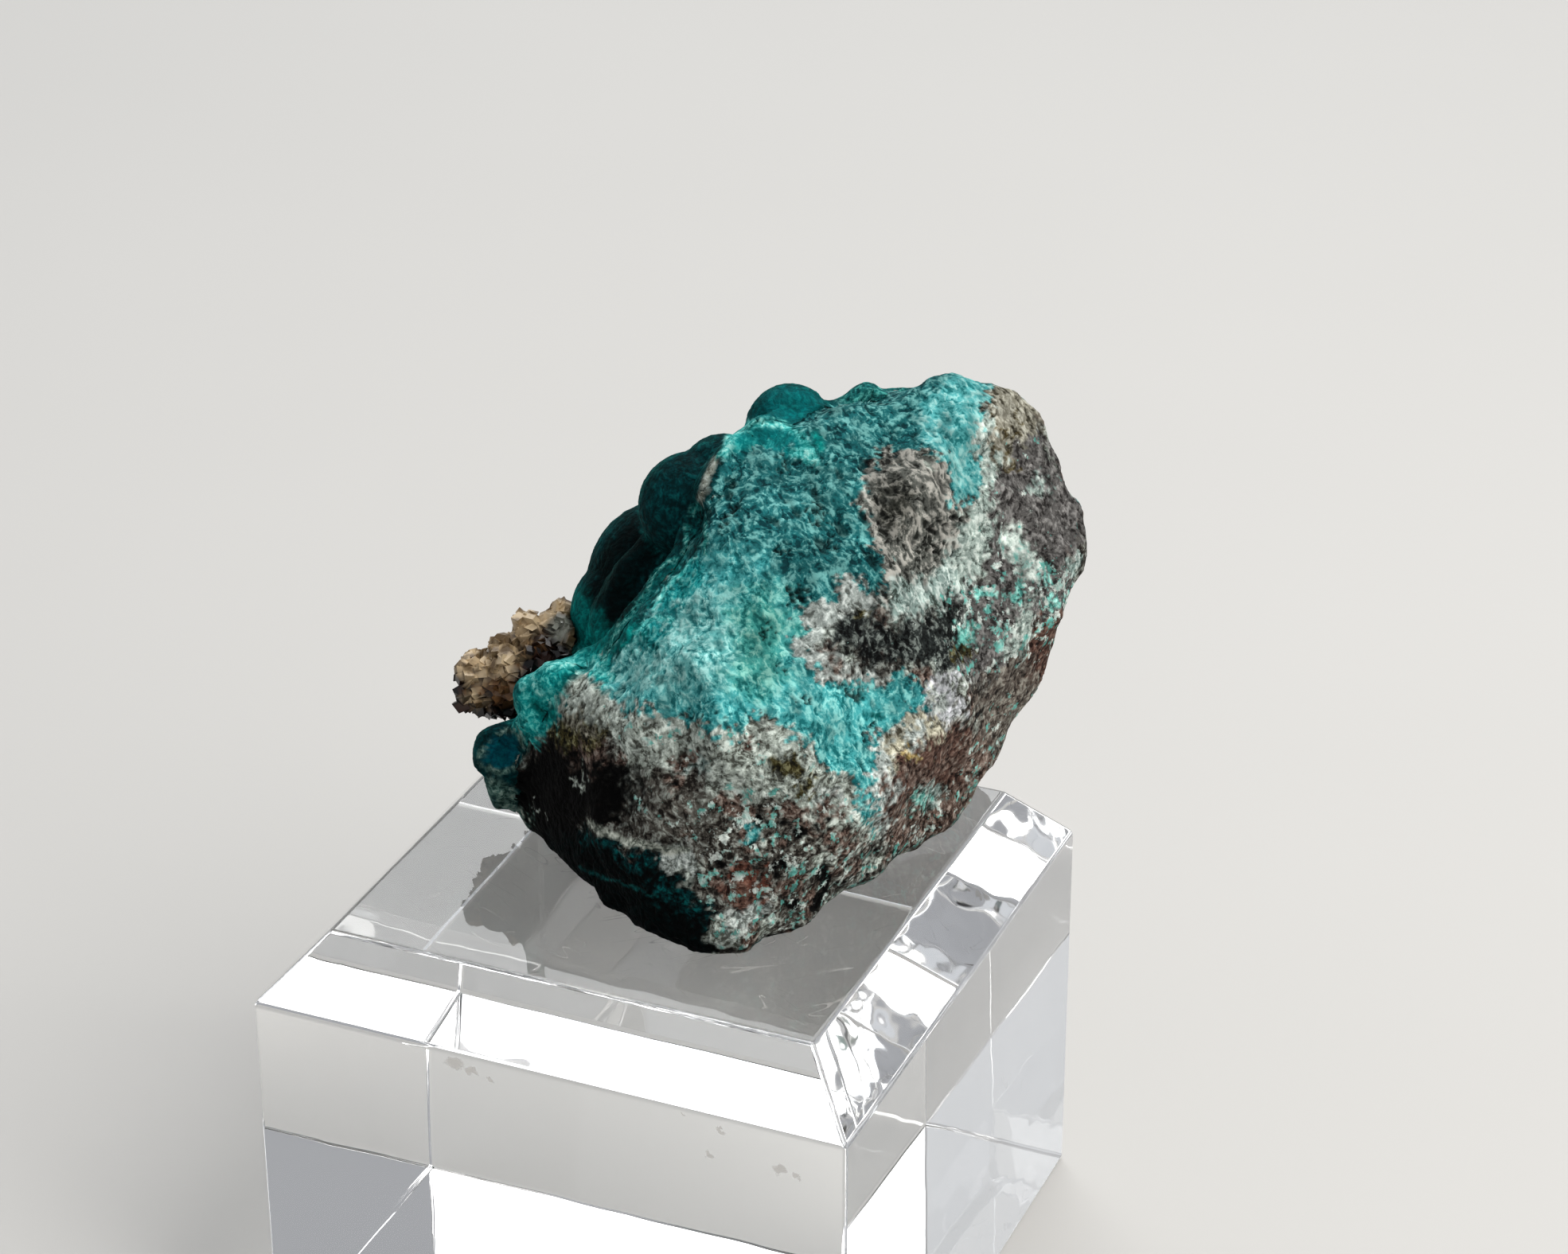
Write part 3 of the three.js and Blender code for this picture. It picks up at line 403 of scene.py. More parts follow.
# Thin lines along edges that catch the light, and folds: points on the display face, half width, finish.
LINES = [
    ([(-9.4, 10.5), (-9.1, 11.1), (-8.8, 11.5), (-8.1, 11.8), (-7.5, 11.9), (-6.8, 11.9), (-5.9, 12.0),
      (-5.2, 11.8), (-4.6, 11.5), (-3.9, 11.1)], 0.24, "ledge_edge"),
    ([(-9.1, 11.1), (-8.7, 10.6), (-8.3, 10.0)], 0.2, "ledge_edge"),
    ([(-6.5, 11.5), (-6.8, 10.8), (-7.0, 10.0), (-7.5, 9.0)], 0.22, "slope"),
    ([(-8.8, 9.6), (-8.3, 9.0), (-7.8, 8.4)], 0.18, "slope"),
    ([(-12.0, 5.7), (-11.9, 6.5), (-11.5, 7.2), (-10.6, 7.7), (-9.6, 8.0)], 0.1, "pale_edge"),
    ([(-9.5, 7.6), (-9.4, 6.5), (-9.9, 5.5), (-10.7, 5.2), (-11.5, 5.6)], 0.13, "pale_edge"),
    ([(-4.5, 12.1), (-4.2, 12.7), (-3.8, 13.6), (-3.1, 14.6), (-2.3, 15.4), (-1.9, 16.3), (-1.3, 17.4),
      (-0.5, 18.1), (0.3, 18.5), (0.7, 18.9)], 0.11, "rim_glint"),
    ([(0.6, 19.1), (0.7, 20.1), (1.0, 20.9), (1.4, 21.6)], 0.1, "rim_glint"),
    ([(1.8, 20.7), (1.7, 20.0), (1.8, 19.3), (1.8, 18.5)], 0.1, "rim_glint"),
    ([(1.5, 21.9), (1.6, 22.6), (1.9, 23.3), (2.2, 23.9), (2.4, 24.3)], 0.2, "sliver"),
    ([(2.4, 24.3), (2.9, 25.0)], 0.1, "rim_glint"),
    ([(1.2, 18.2), (0.6, 17.8), (0.1, 17.3), (-0.4, 16.8), (-0.8, 16.3), (-1.1, 15.7), (-1.3, 15.2)],
     0.13, "ledge_edge"),
    ([(-2.5, 13.7), (-2.2, 14.0), (-1.8, 14.4), (-1.3, 14.6), (-0.7, 14.6), (-0.2, 14.5)],
     0.13, "ledge_edge"),
    ([(3.0, 24.6), (3.3, 25.6), (3.9, 26.1), (4.5, 26.4), (5.5, 26.6), (6.5, 26.4), (7.3, 26.0),
      (7.8, 25.5), (8.2, 24.8)], 0.26, "ledge_edge"),
    ([(7.3, 24.6), (7.8, 24.4), (8.2, 24.1)], 0.24, "ledge_edge"),
    ([(8.5, 25.9), (8.7, 25.2), (8.8, 24.8)], 0.24, "slope"),
    ([(-2.4, 21.5), (-2.3, 21.0), (-2.1, 20.1), (-1.8, 19.5), (-1.3, 18.8), (-0.6, 18.4)],
     0.09, "rim_line"),
    ([(-2.3, 21.3), (-2.1, 22.7), (-1.4, 23.6), (-0.5, 24.3), (1.0, 25.0), (2.4, 25.5)],
     0.08, "rim_line"),
    ([(4.3, 26.7), (4.4, 27.6), (4.9, 28.2), (5.7, 28.6), (6.8, 28.9), (7.7, 28.7), (8.7, 28.2),
      (9.3, 27.7)], 0.1, "rim"),
    ([(4.3, 26.1), (4.9, 26.5), (5.7, 26.7), (6.5, 26.6), (7.3, 26.2), (7.8, 25.6)], 0.12, "ruffle"),
    ([(7.2, 24.6), (7.8, 24.8), (8.4, 24.4), (8.7, 24.0)], 0.2, "ledge_edge"),
]
UNDER_RIDGE = [(-5.2, 2.1), (-4.8, 1.8), (-4.1, 1.5), (-2.8, 1.0), (-1.6, 0.7), (-0.6, 0.5), (0.5, 0.5)]
UNDER_SEAM = [(-5.9, -0.5), (-4.4, -1.2), (-3.0, -1.7), (-1.3, -2.4)]
# The dome at the crust's top that the light reaches: middle on the display face and radius.
LIT_DOME = ((7.0, 26.6), 2.6)
# Dust on the block's front face: place across and up that face, and size, in millimetres.
DUST = [
    ((-5.7, 24.3), 0.8), ((-4.6, 24.0), 0.5), ((-3.4, 23.6), 0.35), ((11.3, 24.1), 0.35),
    ((10.5, 22.3), 0.4), ((14.9, 22.4), 0.6), ((16.0, 22.2), 0.35), ((8.9, 24.6), 0.2),
]

# The rock's patches in the order they are laid: outline, finish, softness of the edge, and where they
# differ from what lies below, the share of lace and of pits in their texture.
ROCK_PATCHES = [
    (SPECKS_RIGHT, "grey", 0.8, 0.3),
    (GREY_SIDE, "grey", 0.3, 0.4),
    (GREY_LOWER, "grey", 0.3, 0.4),
    (PALE_BAND, "pale", 0.3, 0.3, 0.5),
    (PALE_TONGUE, "white", 0.3, 0.3, 0.3),
    (LAVENDER, "lavender", 0.3, 0.2, 0.1),
    (TONGUE_CREAM, "cream", 0.3, 0.2, 0.2),
    (HEART, "heart", 0.2, 0.9, 0.6),
    (HEART_MINT, "mint", 0.5, 0.8),
    (HEART_DARK, "heart_dark", 0.6),
    (PALE_LEFT, "white", 0.35, 0.5, 0.5),
    (CHARCOAL, "charcoal", 0.6, 0.5),
    (RUST_EDGE, "rust", 0.3),
    (EDGE_BROWN, "edge_brown", 0.4, 0.5),
    (RUST_BAND, "rust", 0.3, 0.3),
    (RUST_SPOT, "rust_red", 0.3, 0.3),
    (BROWN_TIP, "brown", 0.3),
    (TAN_TOP, "tan", 0.3, 0.6, 0.8),
    (WHITE_STRIP, "mint_white", 0.25, 0.4, 0.4),
    (GREY_VEIN, "mint_white", 0.25, 0.6, 0.6),
    (RIGHT_WHITE, "mint_white", 0.3, 0.2, 0.4),
    (BAND_DARK, "rock", 0.5, 0.5, 0.8),
    # Dark rock with painted shade on the foot.
    (SHADED_BLACK_FOOT, "black", 0.6, 0.2),
    (LEDGE_BROWN, "brown", 0.4),
    (SIDE_GREEN, "pale_edge", 0.3),
    # Painted shade: the underside's coat made nearly black.
    (UNDER_TEAL_SHADED, "under_teal", 0.4, 0.1, 0.0),
    (UNDER_GLINTS[0], "glint_teal", 0.4),
    (UNDER_GLINTS[1], "glint_teal", 0.4),
    (UNDER_BLOB, "white", 0.2, 0.0),
    (CORNER_WHITE, "white", 0.3),
]
OVER_COAT = [
    (SLOPE, "slope", 0.3, 0.0, 0.0),
    (LEDGE, "ledge", 0.3, 0.3, 0.0),
    (LEDGE_GREY, "pale", 0.5, 0.6),
    (OLIVE, "olive", 0.4),
    (LEDGE_CREAM, "tan", 0.3),
]
COAT_TONES = [
    # Paler coat, partly a painted highlight.
    (COAT_PALE_AND_LIT, "coat_bright", 0.9, None, 0.45),
    (COAT_GREEN, "coat_green", 1.3),
    (COAT_VEIL, "coat_veil", 1.2),
    (COAT_CLEAN, "coat_clean", 0.5, 0.8, 0.3),
]
SPECKLED = [
    (SPECKS_RIGHT, 0.44), (SPECKS_FOOT, 0.4), (BAND_DARK, 0.3), (PALE_BAND, 0.34), (GREY_SIDE, 0.16),
    (CHARCOAL, 0.16), (HEART_MINT, 0.2),
]
# The folded rim along the coat's left edge, laid over the coat on rock and crust alike.
RIM_PATCHES = [
    (INNER_FOLD, "fold", 0.3, 0.3, 0.2),
    (LOWER_FOLD, "fold", 0.3, 0.3, 0.2),
    (RIM_BAND, "rim", 0.12, 0.0, 0.0),
    (RIM_STRIP, "rim_dark", 0.12, 0.0, 0.0),
]
# The crust's patches, in the same way.
CRUST_PATCHES = [
    (SLOPE, "slope", 0.5),
    # Painted shade: darker velvet in the deep hollow.
    (SHADED_HOLLOW, "velvet_deep", 0.5),
    (COAT_ON_CRUST, "coat", 0.15, 0.65, 0.6),
    # Paler coat, partly a painted highlight.
    (COAT_PALE_AND_LIT, "coat_bright", 0.9, 0.6, 0.4),
    # Painted light on the front dome.
    (FRONT_DOME, "dome_lit", 0.1, 0.0, 0.0),
    *RIM_PATCHES,
    (LEDGE, "ledge", 0.3, 0.3, 0.0),
    (POCKET, "pocket", 0.15),
    (SIDE_GREEN, "pale_edge", 0.3),
]

# Corners closer than this, in metres, are joined; faces that meet below this angle, in radians, are one.
JOIN_DISTANCE = 2e-6
FLAT_ANGLE = 0.02
# Faces of the block larger than this, in square metres, are shaded flat.
LARGE_FACE = 2e-5
# How often a solid's faces are halved and smoothed before it is rebuilt from even quads.
ROUNDING = 2
# How finely the skin over rock and crust is made, how far it bridges, and how far each is swelled.
SKIN_QUAD = 0.00035
SKIN_REACH = 0.0011
ROCK_SWELL = 0.00018
CRUST_SWELL = 0.00022
# How near the surface has to run to a dome or rib to be drawn onto it, fading out to the second value.
HOLD = (0.35, 0.75)
# How far the specimen stays clear of the block's top.
CLEARANCE = 0.02

# The crusty texture: the slant and stretch of its fibres, and the distances in millimetres from one
# coarse or fine ridge, sugary grain, dent or hole to the next.
FIBRE_SLANT = math.radians(-62)
FIBRE_STRETCH = (0.42, 1.0, 0.8)
COARSE_RIDGE = 0.72
FINE_RIDGE = 0.4
GRAIN_SPACING = 0.55
SUGAR_SIZE = 0.26
DENT_SPACING = 0.6
HOLE_SPACING = 1.05
SPECK_TEAL = srgb(96, 166, 155)
SPECK_WHITE = srgb(206, 214, 206)

# The stage: half the floor's side and its level in metres, where the lamps point, and the fill lamp's
# share of the key lamp's power.
FLOOR_HALF = 1.2
FLOOR_LEVEL = -0.00008
AIM = Vector((0.0, 0.0, 0.035))
FILL_SHARE = 0.06

# The crust's round forms: centre and radius of each dome, and rows of rounded ribs.
DOMES = np.array([
    (7.0, 26.2, -0.6, 2.75), (6.0, 25.2, 3.0, 1.9), (1.1, 21.4, 1.6, 3.35), (2.9, 23.2, 1.4, 2.6),
    (-0.6, 17.0, -4.4, 5.0), (-3.0, 15.0, -3.6, 3.6),
    (10.9, 27.5, -0.2, 1.4), (12.6, 27.9, -1.7, 1.5), (14.6, 28.6, -1.4, 1.4), (15.8, 29.2, -2.0, 1.4),
    (17.4, 29.3, -2.0, 1.4), (12.2, 27.4, -3.4, 2.0), (15.4, 28.3, -4.0, 1.9),
    (2.6, 20.6, -6.4, 3.4), (6.0, 23.6, -5.0, 3.2), (-1.6, 14.2, -8.2, 3.4), (8.8, 25.2, -5.4, 2.6),
    (-4.2, 11.6, -6.6, 3.0), (-6.4, 8.6, -5.6, 2.4),
])
RIBS = [
    [(-3.2, 12.2, 7.3, 1.2), (-2.6, 13.5, 7.1, 1.35), (-1.5, 14.6, 7.1, 1.2), (-0.7, 16.0, 7.1, 1.35),
     (0.5, 17.2, 6.9, 1.3), (1.6, 18.7, 6.7, 1.2), (1.9, 20.1, 6.5, 1.1), (2.3, 21.6, 6.1, 1.1),
     (3.1, 23.4, 5.3, 1.1), (4.1, 24.6, 4.5, 1.2)],
    [(-8.4, 10.0, 4.2, 1.3), (-6.8, 10.4, 5.0, 1.4), (-5.4, 10.6, 6.2, 1.4), (-3.6, 11.0, 7.2, 1.3)],
    [(-8.4, 9.8, 4.0, 1.3), (-7.8, 8.4, 4.4, 1.2), (-8.9, 7.4, 2.4, 1.4)],
    [(-8.9, 7.4, 2.4, 1.4), (-10.1, 5.4, -0.6, 1.7), (-9.9, 3.5, -2.0, 1.6)],
]


# ---------------------------------------------------------------- places and noise


def to_face(points):
    """Points in metres in the row frame, as millimetres in the display frame."""
    return (np.asarray(points) / MM - FACE_ORIGIN) @ FACE_AXES.T


def to_room(points):
    """Points in millimetres in the display frame, as metres in the row frame."""
    return (np.asarray(points) @ FACE_AXES + FACE_ORIGIN) * MM


def seen(points):
    """Where display-frame points appear from the eye, on the plane through the origin."""
    share = EYE[2] / (EYE[2] - points[:, 2:3])
    return EYE[:2] + (points[:, :2] - EYE[:2]) * share


def smoothstep(low, high, values):
    share = np.clip((values - low) / (high - low), 0, 1)
    return share * share * (3 - 2 * share)


def disc(spots, middle, radius, inner, outer):
    """1 around a middle, fading to 0 between two shares of the radius."""
    distance = np.linalg.norm(spots - np.array(middle), axis=1)
    return 1 - smoothstep(radius * inner, radius * outer, distance)


def noise_rows(points, size, seed):
    """Smooth random vectors, one for each point, that change over the given size."""
    noise.seed_set(NOISE_SEED)
    shift = Vector((seed, seed * 1.7, seed * 0.6))
    return np.array([noise.noise_vector(Vector(p) / size + shift) for p in points])


def line_distance(spots, line):
    """Distance from each spot to a row of joined points."""
    nearest = np.full(len(spots), np.inf)
    for start, end in zip(np.array(line[:-1]), np.array(line[1:])):
        along = end - start
        share = np.clip((spots - start) @ along / (along @ along), 0, 1)
        nearest = np.minimum(nearest, np.linalg.norm(spots - start - share[:, None] * along, axis=1))
    return nearest


def depth_inside(spots, outline):
    """Distance from each spot to a closed outline, positive inside it."""
    corners = np.array(outline)
    crossings = np.zeros(len(spots), bool)
    for (ax, ay), (bx, by) in zip(corners, np.roll(corners, -1, axis=0)):
        spans = (ay > spots[:, 1]) != (by > spots[:, 1])
        if ay != by:
            reach = ax + (spots[:, 1] - ay) * (bx - ax) / (by - ay)
            crossings ^= spans & (spots[:, 0] < reach)
    closed = np.vstack((corners, corners[:1]))
    return np.where(crossings, 1.0, -1.0) * line_distance(spots, closed)


# ---------------------------------------------------------------- mesh work


def get_points(mesh):
    points = np.empty(len(mesh.vertices) * 3)
    mesh.vertices.foreach_get("co", points)
    return points.reshape(-1, 3)


def get_normals(mesh):
    normals = np.empty(len(mesh.vertices) * 3)
    mesh.vertex_normals.foreach_get("vector", normals)
    return normals.reshape(-1, 3)


def set_points(mesh, points):
    mesh.vertices.foreach_set("co", points.ravel())
    mesh.update()


def swell(mesh, reach):
    """Moves every point of a mesh along its normal."""
    set_points(mesh, get_points(mesh) + get_normals(mesh) * reach)


@contextmanager
def edited(mesh):
    """Opens a mesh for editing, and writes it back after it."""
    work = bmesh.new()
    work.from_mesh(mesh)
    yield work
    work.to_mesh(mesh)
    work.free()


def merged_copy(node):
    """A copy of a CAD node's mesh with its loose triangles joined up."""
    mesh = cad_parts[node].data.copy()
    mesh.materials.clear()
    with edited(mesh) as work:
        bmesh.ops.remove_doubles(work, verts=work.verts, dist=JOIN_DISTANCE)
        bmesh.ops.recalc_face_normals(work, faces=work.faces)
    return mesh


def new_object(name, data):
    item = bpy.data.objects.new(name, data)
    bpy.context.scene.collection.objects.link(item)
    return item


def baked(piece):
    """The piece's mesh with its modifiers worked in; the modifiers are taken off."""
    bpy.context.view_layer.update()
    graph = bpy.context.evaluated_depsgraph_get()
    mesh = bpy.data.meshes.new_from_object(
        piece.evaluated_get(graph), preserve_all_data_layers=True, depsgraph=graph,
    )
    piece.modifiers.clear()
    old = piece.data
    piece.data = mesh
    bpy.data.meshes.remove(old)
    return mesh


def subdivided(piece, levels, kind="CATMULL_CLARK"):
    smooth = piece.modifiers.new("subdivided", "SUBSURF")
    smooth.subdivision_type = kind
    smooth.levels = smooth.render_levels = levels


def even_quads(piece, side):
    """Rebuilds a piece from small even quads."""
    even = piece.modifiers.new("even", "REMESH")
    even.mode = "VOXEL"
    even.voxel_size = side
    baked(piece)


def rounded_piece(name, node, side):
    """A new piece: a CAD node's mesh rounded off and rebuilt from small even quads."""
    piece = new_object(name, merged_copy(node))
    subdivided(piece, ROUNDING)
    even_quads(piece, side)
    return piece


def refine_front(piece):
    """Splits the faces that look towards the eye, so that they can carry finer relief."""
    outward = Vector(FACE_OUT)
    with edited(piece.data) as work:
        for face in work.faces:
            face.tag = face.normal.dot(outward) > SIDE_ON
        edges = [edge for edge in work.edges if any(face.tag for face in edge.link_faces)]
        bmesh.ops.subdivide_edges(work, edges=edges, cuts=1, use_grid_fill=True)


def surface_tree(mesh):
    """The mesh's faces, ready to be asked for the point nearest to any other."""
    work = bmesh.new()
    work.from_mesh(mesh)
    tree = BVHTree.FromBMesh(work)
    work.free()
    return tree


def joined_skin(*meshes):
    """One skin over several meshes, with the grooves narrower than twice its reach filled in."""
    both = bpy.data.meshes.new("skin")
    with edited(both) as work:
        for mesh in meshes:
            work.from_mesh(mesh)
    skin = new_object("skin", both)
    even_quads(skin, SKIN_QUAD)
    swell(skin.data, SKIN_REACH)
    even_quads(skin, SKIN_QUAD)
    swell(skin.data, -SKIN_REACH)
    tree = surface_tree(skin.data)
    bpy.data.objects.remove(skin)
    return tree


def fill_groove(mesh, neighbour, skin):
    """Draws the surface beside the neighbour up onto the joined skin, so that no groove shows."""
    near, beside, reach, lift, overlap = 0.0028, 0.0014, 0.0009, 0.0013, 0.00012
    beyond = surface_tree(neighbour)
    points = get_points(mesh)
    for index, point in enumerate(points):
        spot = Vector(point)
        side, _, _, gap = beyond.find_nearest(spot, near)
        if gap is None:
            continue
        if 0 < gap < reach:
            spot += (side - spot).normalized() * (gap * 0.5 + overlap)
        share = 1 - smoothstep(beside, near, gap)
        place, normal, _, climb = skin.find_nearest(spot, lift)
        if place is not None:
            share_up = share * (1 - smoothstep(lift * 0.7, lift, climb))
            spot = spot.lerp(place + normal * ROCK_SWELL, float(share_up))
        points[index] = spot
    set_points(mesh, points)


def settle(mesh):
    """Keeps a finished piece clear of the block's top face, and shades it smooth."""
    points = get_points(mesh)
    points[:, 2] = np.maximum(points[:, 2], (BLOCK_HEIGHT + CLEARANCE) * MM)
    set_points(mesh, points)
    mesh.polygons.foreach_set("use_smooth", np.ones(len(mesh.polygons), bool))


def give(mesh, name, kind, values):
    """Stores one value for each vertex under a name."""
    layer = mesh.attributes.new(name, kind, "POINT")
    field = {"FLOAT": "value", "FLOAT_VECTOR": "vector", "FLOAT_COLOR": "color"}[kind]
    layer.data.foreach_set(field, np.ascontiguousarray(values, dtype=np.float32).ravel())


class Coats:
    """The three colours and the texture of every vertex, laid on one patch after another."""

    def __init__(self, mesh, ground, seed, ragged):
        points = to_face(get_points(mesh))
        normals = get_normals(mesh) @ FACE_AXES.T
        self.mesh = mesh
        self.points = points
        wander = sum(share * noise_rows(points, size, seed + more) for size, share, more in FRAYS)
        self.plain_spots = seen(points)
        self.spots = self.plain_spots + ragged * wander[:, :2]
        self.facing = smoothstep(-SIDE_ON, SIDE_ON, normals[:, 2])
        self.colours = [np.tile((*srgb(*colour), 1.0), (len(points), 1)) for colour in FINISHES[ground]]
        self.lace = np.zeros(len(points))
        self.pitting = np.full(len(points), 0.3)
        self.specks = np.zeros(len(points))
        self.holes = np.zeros(len(points))

    def lay(self, share, finish, lace=None, pitting=None):
        for layer, colour in zip(self.colours, FINISHES[finish]):
            layer[:, :3] += share[:, None] * (np.array(srgb(*colour)) - layer[:, :3])
        if lace is not None:
            self.lace += share * (lace - self.lace)
        if pitting is not None:
            self.pitting += share * (pitting - self.pitting)

    def within(self, outline, soft):
        """1 inside an outline and 0 outside it, with an edge of the given softness."""
        return smoothstep(-soft, soft, depth_inside(self.spots, outline))

    def patch(self, outline, finish, soft, lace=None, pitting=None):
        self.lay(self.within(outline, soft) * self.facing, finish, lace, pitting)

    def line(self, line, half_width, finish, where=1.0):
        spots = self.plain_spots + LINE_FRAY * (self.spots - self.plain_spots)
        share = 1 - smoothstep(half_width * 0.5, half_width * 1.5, line_distance(spots, line))
        self.lay(share * self.facing * where, finish, lace=0.0, pitting=0.0)

    def spot(self, middle, radius, finish):
        self.lay(disc(self.spots, middle, radius, 0.6, 1.2) * self.facing, finish)

    def scattered(self, size, cover, finish, seed, where=1.0, lace=None, pitting=None):
        """Patches at random over a share of the surface."""
        field = noise_rows(self.points, size, seed)[:, 0]
        field += 0.35 * noise_rows(self.points, size / 3, seed)[:, 1]
        share = smoothstep(cover - 0.05, cover + 0.05, field) * where
        self.lay(share, finish, lace, pitting)

    def store(self):
        for name, layer in zip(COLOUR_LAYERS, self.colours):
            give(self.mesh, name, "FLOAT_COLOR", layer)
        give(self.mesh, "rest", "FLOAT_VECTOR", self.points)
        for name in ("lace", "pitting", "specks", "holes"):
            give(self.mesh, name, "FLOAT", getattr(self, name))


# ---------------------------------------------------------------- node trees


class Nodes:
    """Adds nodes to one tree. A value that is a socket is linked; any other is set on the input."""

    def __init__(self, tree):
        self.tree = tree

    def feed(self, socket, value):
        if isinstance(value, bpy.types.NodeSocket):
            self.tree.links.new(value, socket)
        else:
            socket.default_value = value

    def add(self, kind, inputs=None, **settings):
        node = self.tree.nodes.new(kind)
        for name, value in settings.items():
            setattr(node, name, value)
        for name, value in (inputs or {}).items():
            self.feed(node.inputs[name], value)
        return node

    def named(self, name, kind="FLOAT"):
        """A named attribute, in either sort of tree."""
        if self.tree.bl_idname == "GeometryNodeTree":
            return self.add("GeometryNodeInputNamedAttribute", {"Name": name}, data_type=kind).outputs[0]
        node = self.add("ShaderNodeAttribute", attribute_name=name)
        return node.outputs[{"FLOAT": "Fac", "FLOAT_VECTOR": "Vector", "FLOAT_COLOR": "Color"}[kind]]

    def millimetres(self):
        """Object coordinates in millimetres."""
        return self.vector("SCALE", self.add("ShaderNodeTexCoord").outputs["Object"], 1 / MM)

    def math(self, operation, first, second=0.0, clamp=False):
        node = self.add("ShaderNodeMath", {0: first, 1: second}, operation=operation, use_clamp=clamp)
        return node.outputs[0]

    def plus(self, first, second, clamp=False):
        return self.math("ADD", first, second, clamp)

    def minus(self, first, second, clamp=False):
        return self.math("SUBTRACT", first, second, clamp)

    def times(self, first, second, clamp=False):
        return self.math("MULTIPLY", first, second, clamp)

    def vector(self, operation, first, second):
        last = "Scale" if operation == "SCALE" else 1
        return self.add("ShaderNodeVectorMath", {0: first, last: second}, operation=operation).outputs[0]

    def part(self, vector, index):
        return self.add("ShaderNodeSeparateXYZ", {"Vector": vector}).outputs[index]

    def turned(self, where, angle):
        inputs = {"Vector": where, "Angle": angle}
        return self.add("ShaderNodeVectorRotate", inputs, rotation_type="Z_AXIS").outputs[0]

    def step(self, value, low, high, start=0.0, end=1.0):
        """A smooth change from start to end while value goes from low to high."""
        numbers = dict(enumerate((value, low, high, start, end)))
        return self.add("ShaderNodeMapRange", numbers, interpolation_type="SMOOTHSTEP").outputs[0]

    def blend(self, share, low, high):
        return self.add("ShaderNodeMix", {0: share, 6: low, 7: high}, data_type="RGBA").outputs[2]

    def noise(self, where, size, seed, detail=2.0, roughness=0.5):
        return self.add(
            "ShaderNodeTexNoise",
            {"Vector": where, "W": seed, "Scale": 1 / size, "Detail": detail, "Roughness": roughness},
            noise_dimensions="4D",
        )

    def cells(self, where, size):
        return self.add("ShaderNodeTexVoronoi", {"Vector": where, "Scale": 1 / size})

    def ridges(self, where, size, seed, sharpness):
        """Worm-like crests: 1 along them and 0 between them."""
        value = self.noise(where, size, seed, 1.0).outputs[0]
        away = self.math("ABSOLUTE", self.minus(value, 0.5))
        return self.minus(1.0, self.times(away, sharpness * 2), clamp=True)

    def bent(self, spots, where, size, seed, detail, reach):
        """The spots moved about by smooth noise, so that a pattern on them runs crooked."""
        colour = self.noise(where, size, seed, detail).outputs["Color"]
        drift = self.vector("SUBTRACT", colour, (0.5, 0.5, 0.5))
        return self.vector("ADD", spots, self.vector("SCALE", drift, reach))


def mineral_texture(nodes):
    """The fine relief of every crusty surface: its place, its height from 0 to 1, and its pits.

    The same nodes serve the relief and the colours, so that the two agree.
    """
    rest = nodes.named("rest", "FLOAT_VECTOR")
    lace = nodes.named("lace")
    drifted = nodes.bent(rest, rest, 1.2, 2.0, 2.0, 1.0)
    along = nodes.vector("MULTIPLY", nodes.turned(drifted, -FIBRE_SLANT), FIBRE_STRETCH)
    coarse = nodes.ridges(along, COARSE_RIDGE, 1.0, 2.5)
    fine = nodes.ridges(along, FINE_RIDGE, 5.0, 2.4)
    web = nodes.plus(nodes.times(coarse, 0.55), nodes.times(fine, 0.45))
    woven = nodes.step(nodes.noise(rest, 1.3, 13.0, 2.0).outputs[0], 0.36, 0.6)
    lumps = nodes.step(nodes.cells(drifted, GRAIN_SPACING).outputs["Distance"], 0.75, 0.1)
    small = nodes.step(nodes.noise(drifted, SUGAR_SIZE, 7.0, 3.0, 0.6).outputs[0], 0.3, 0.7)
    sugar = nodes.plus(nodes.times(lumps, 0.4), nodes.times(small, 0.6))
    spread = nodes.minus(web, sugar)
    mass = nodes.plus(sugar, nodes.times(spread, nodes.times(lace, woven)), clamp=True)
    dent = nodes.cells(nodes.bent(along, rest, 0.5, 17.0, 2.0, 0.6), DENT_SPACING)
    chance = nodes.step(nodes.part(dent.outputs["Color"], 1), 0.4, 0.5, 0.0, 0.75)
    taken = nodes.times(chance, nodes.step(lace, 0.0, 0.5, 0.6, 1.0))
    dented = nodes.times(nodes.step(dent.outputs["Distance"], 0.36, 0.12), taken)
    height = nodes.times(mass, nodes.minus(1.06, dented), clamp=True)
    hole = nodes.cells(along, HOLE_SPACING)
    chosen = nodes.step(nodes.part(hole.outputs["Color"], 0), 0.5, 0.75)
    open_share = nodes.times(chosen, nodes.named("pitting"))
    pit = nodes.times(nodes.step(hole.outputs["Distance"], 0.4, 0.2), open_share)
    return rest, height, nodes.math("MAXIMUM", pit, nodes.named("holes"))


def new_group(name, inputs):
    """Starts a geometry node tree: its nodes and its named inputs, given as kind and first value."""
    tree = bpy.data.node_groups.new(name, "GeometryNodeTree")
    ends = {"Geometry": ("Geometry", None)}
    for label, (kind, value) in {**ends, **inputs, "Material": ("Material", None)}.items():
        socket = tree.interface.new_socket(label, in_out="INPUT", socket_type="NodeSocket" + kind)
        if value is not None:
            socket.default_value = value
    tree.interface.new_socket("Geometry", in_out="OUTPUT", socket_type="NodeSocketGeometry")
    nodes = Nodes(tree)
    return nodes, nodes.add("NodeGroupInput").outputs


def end_group(nodes, given, geometry):
    """Ends a geometry node tree: instances made real, and the material set."""
    whole = nodes.add("GeometryNodeRealizeInstances", {"Geometry": geometry})
    finished = nodes.add(
        "GeometryNodeSetMaterial", {"Geometry": whole.outputs[0], "Material": given["Material"]},
    )
    nodes.add("NodeGroupOutput", {0: finished.outputs[0]})
    return nodes.tree


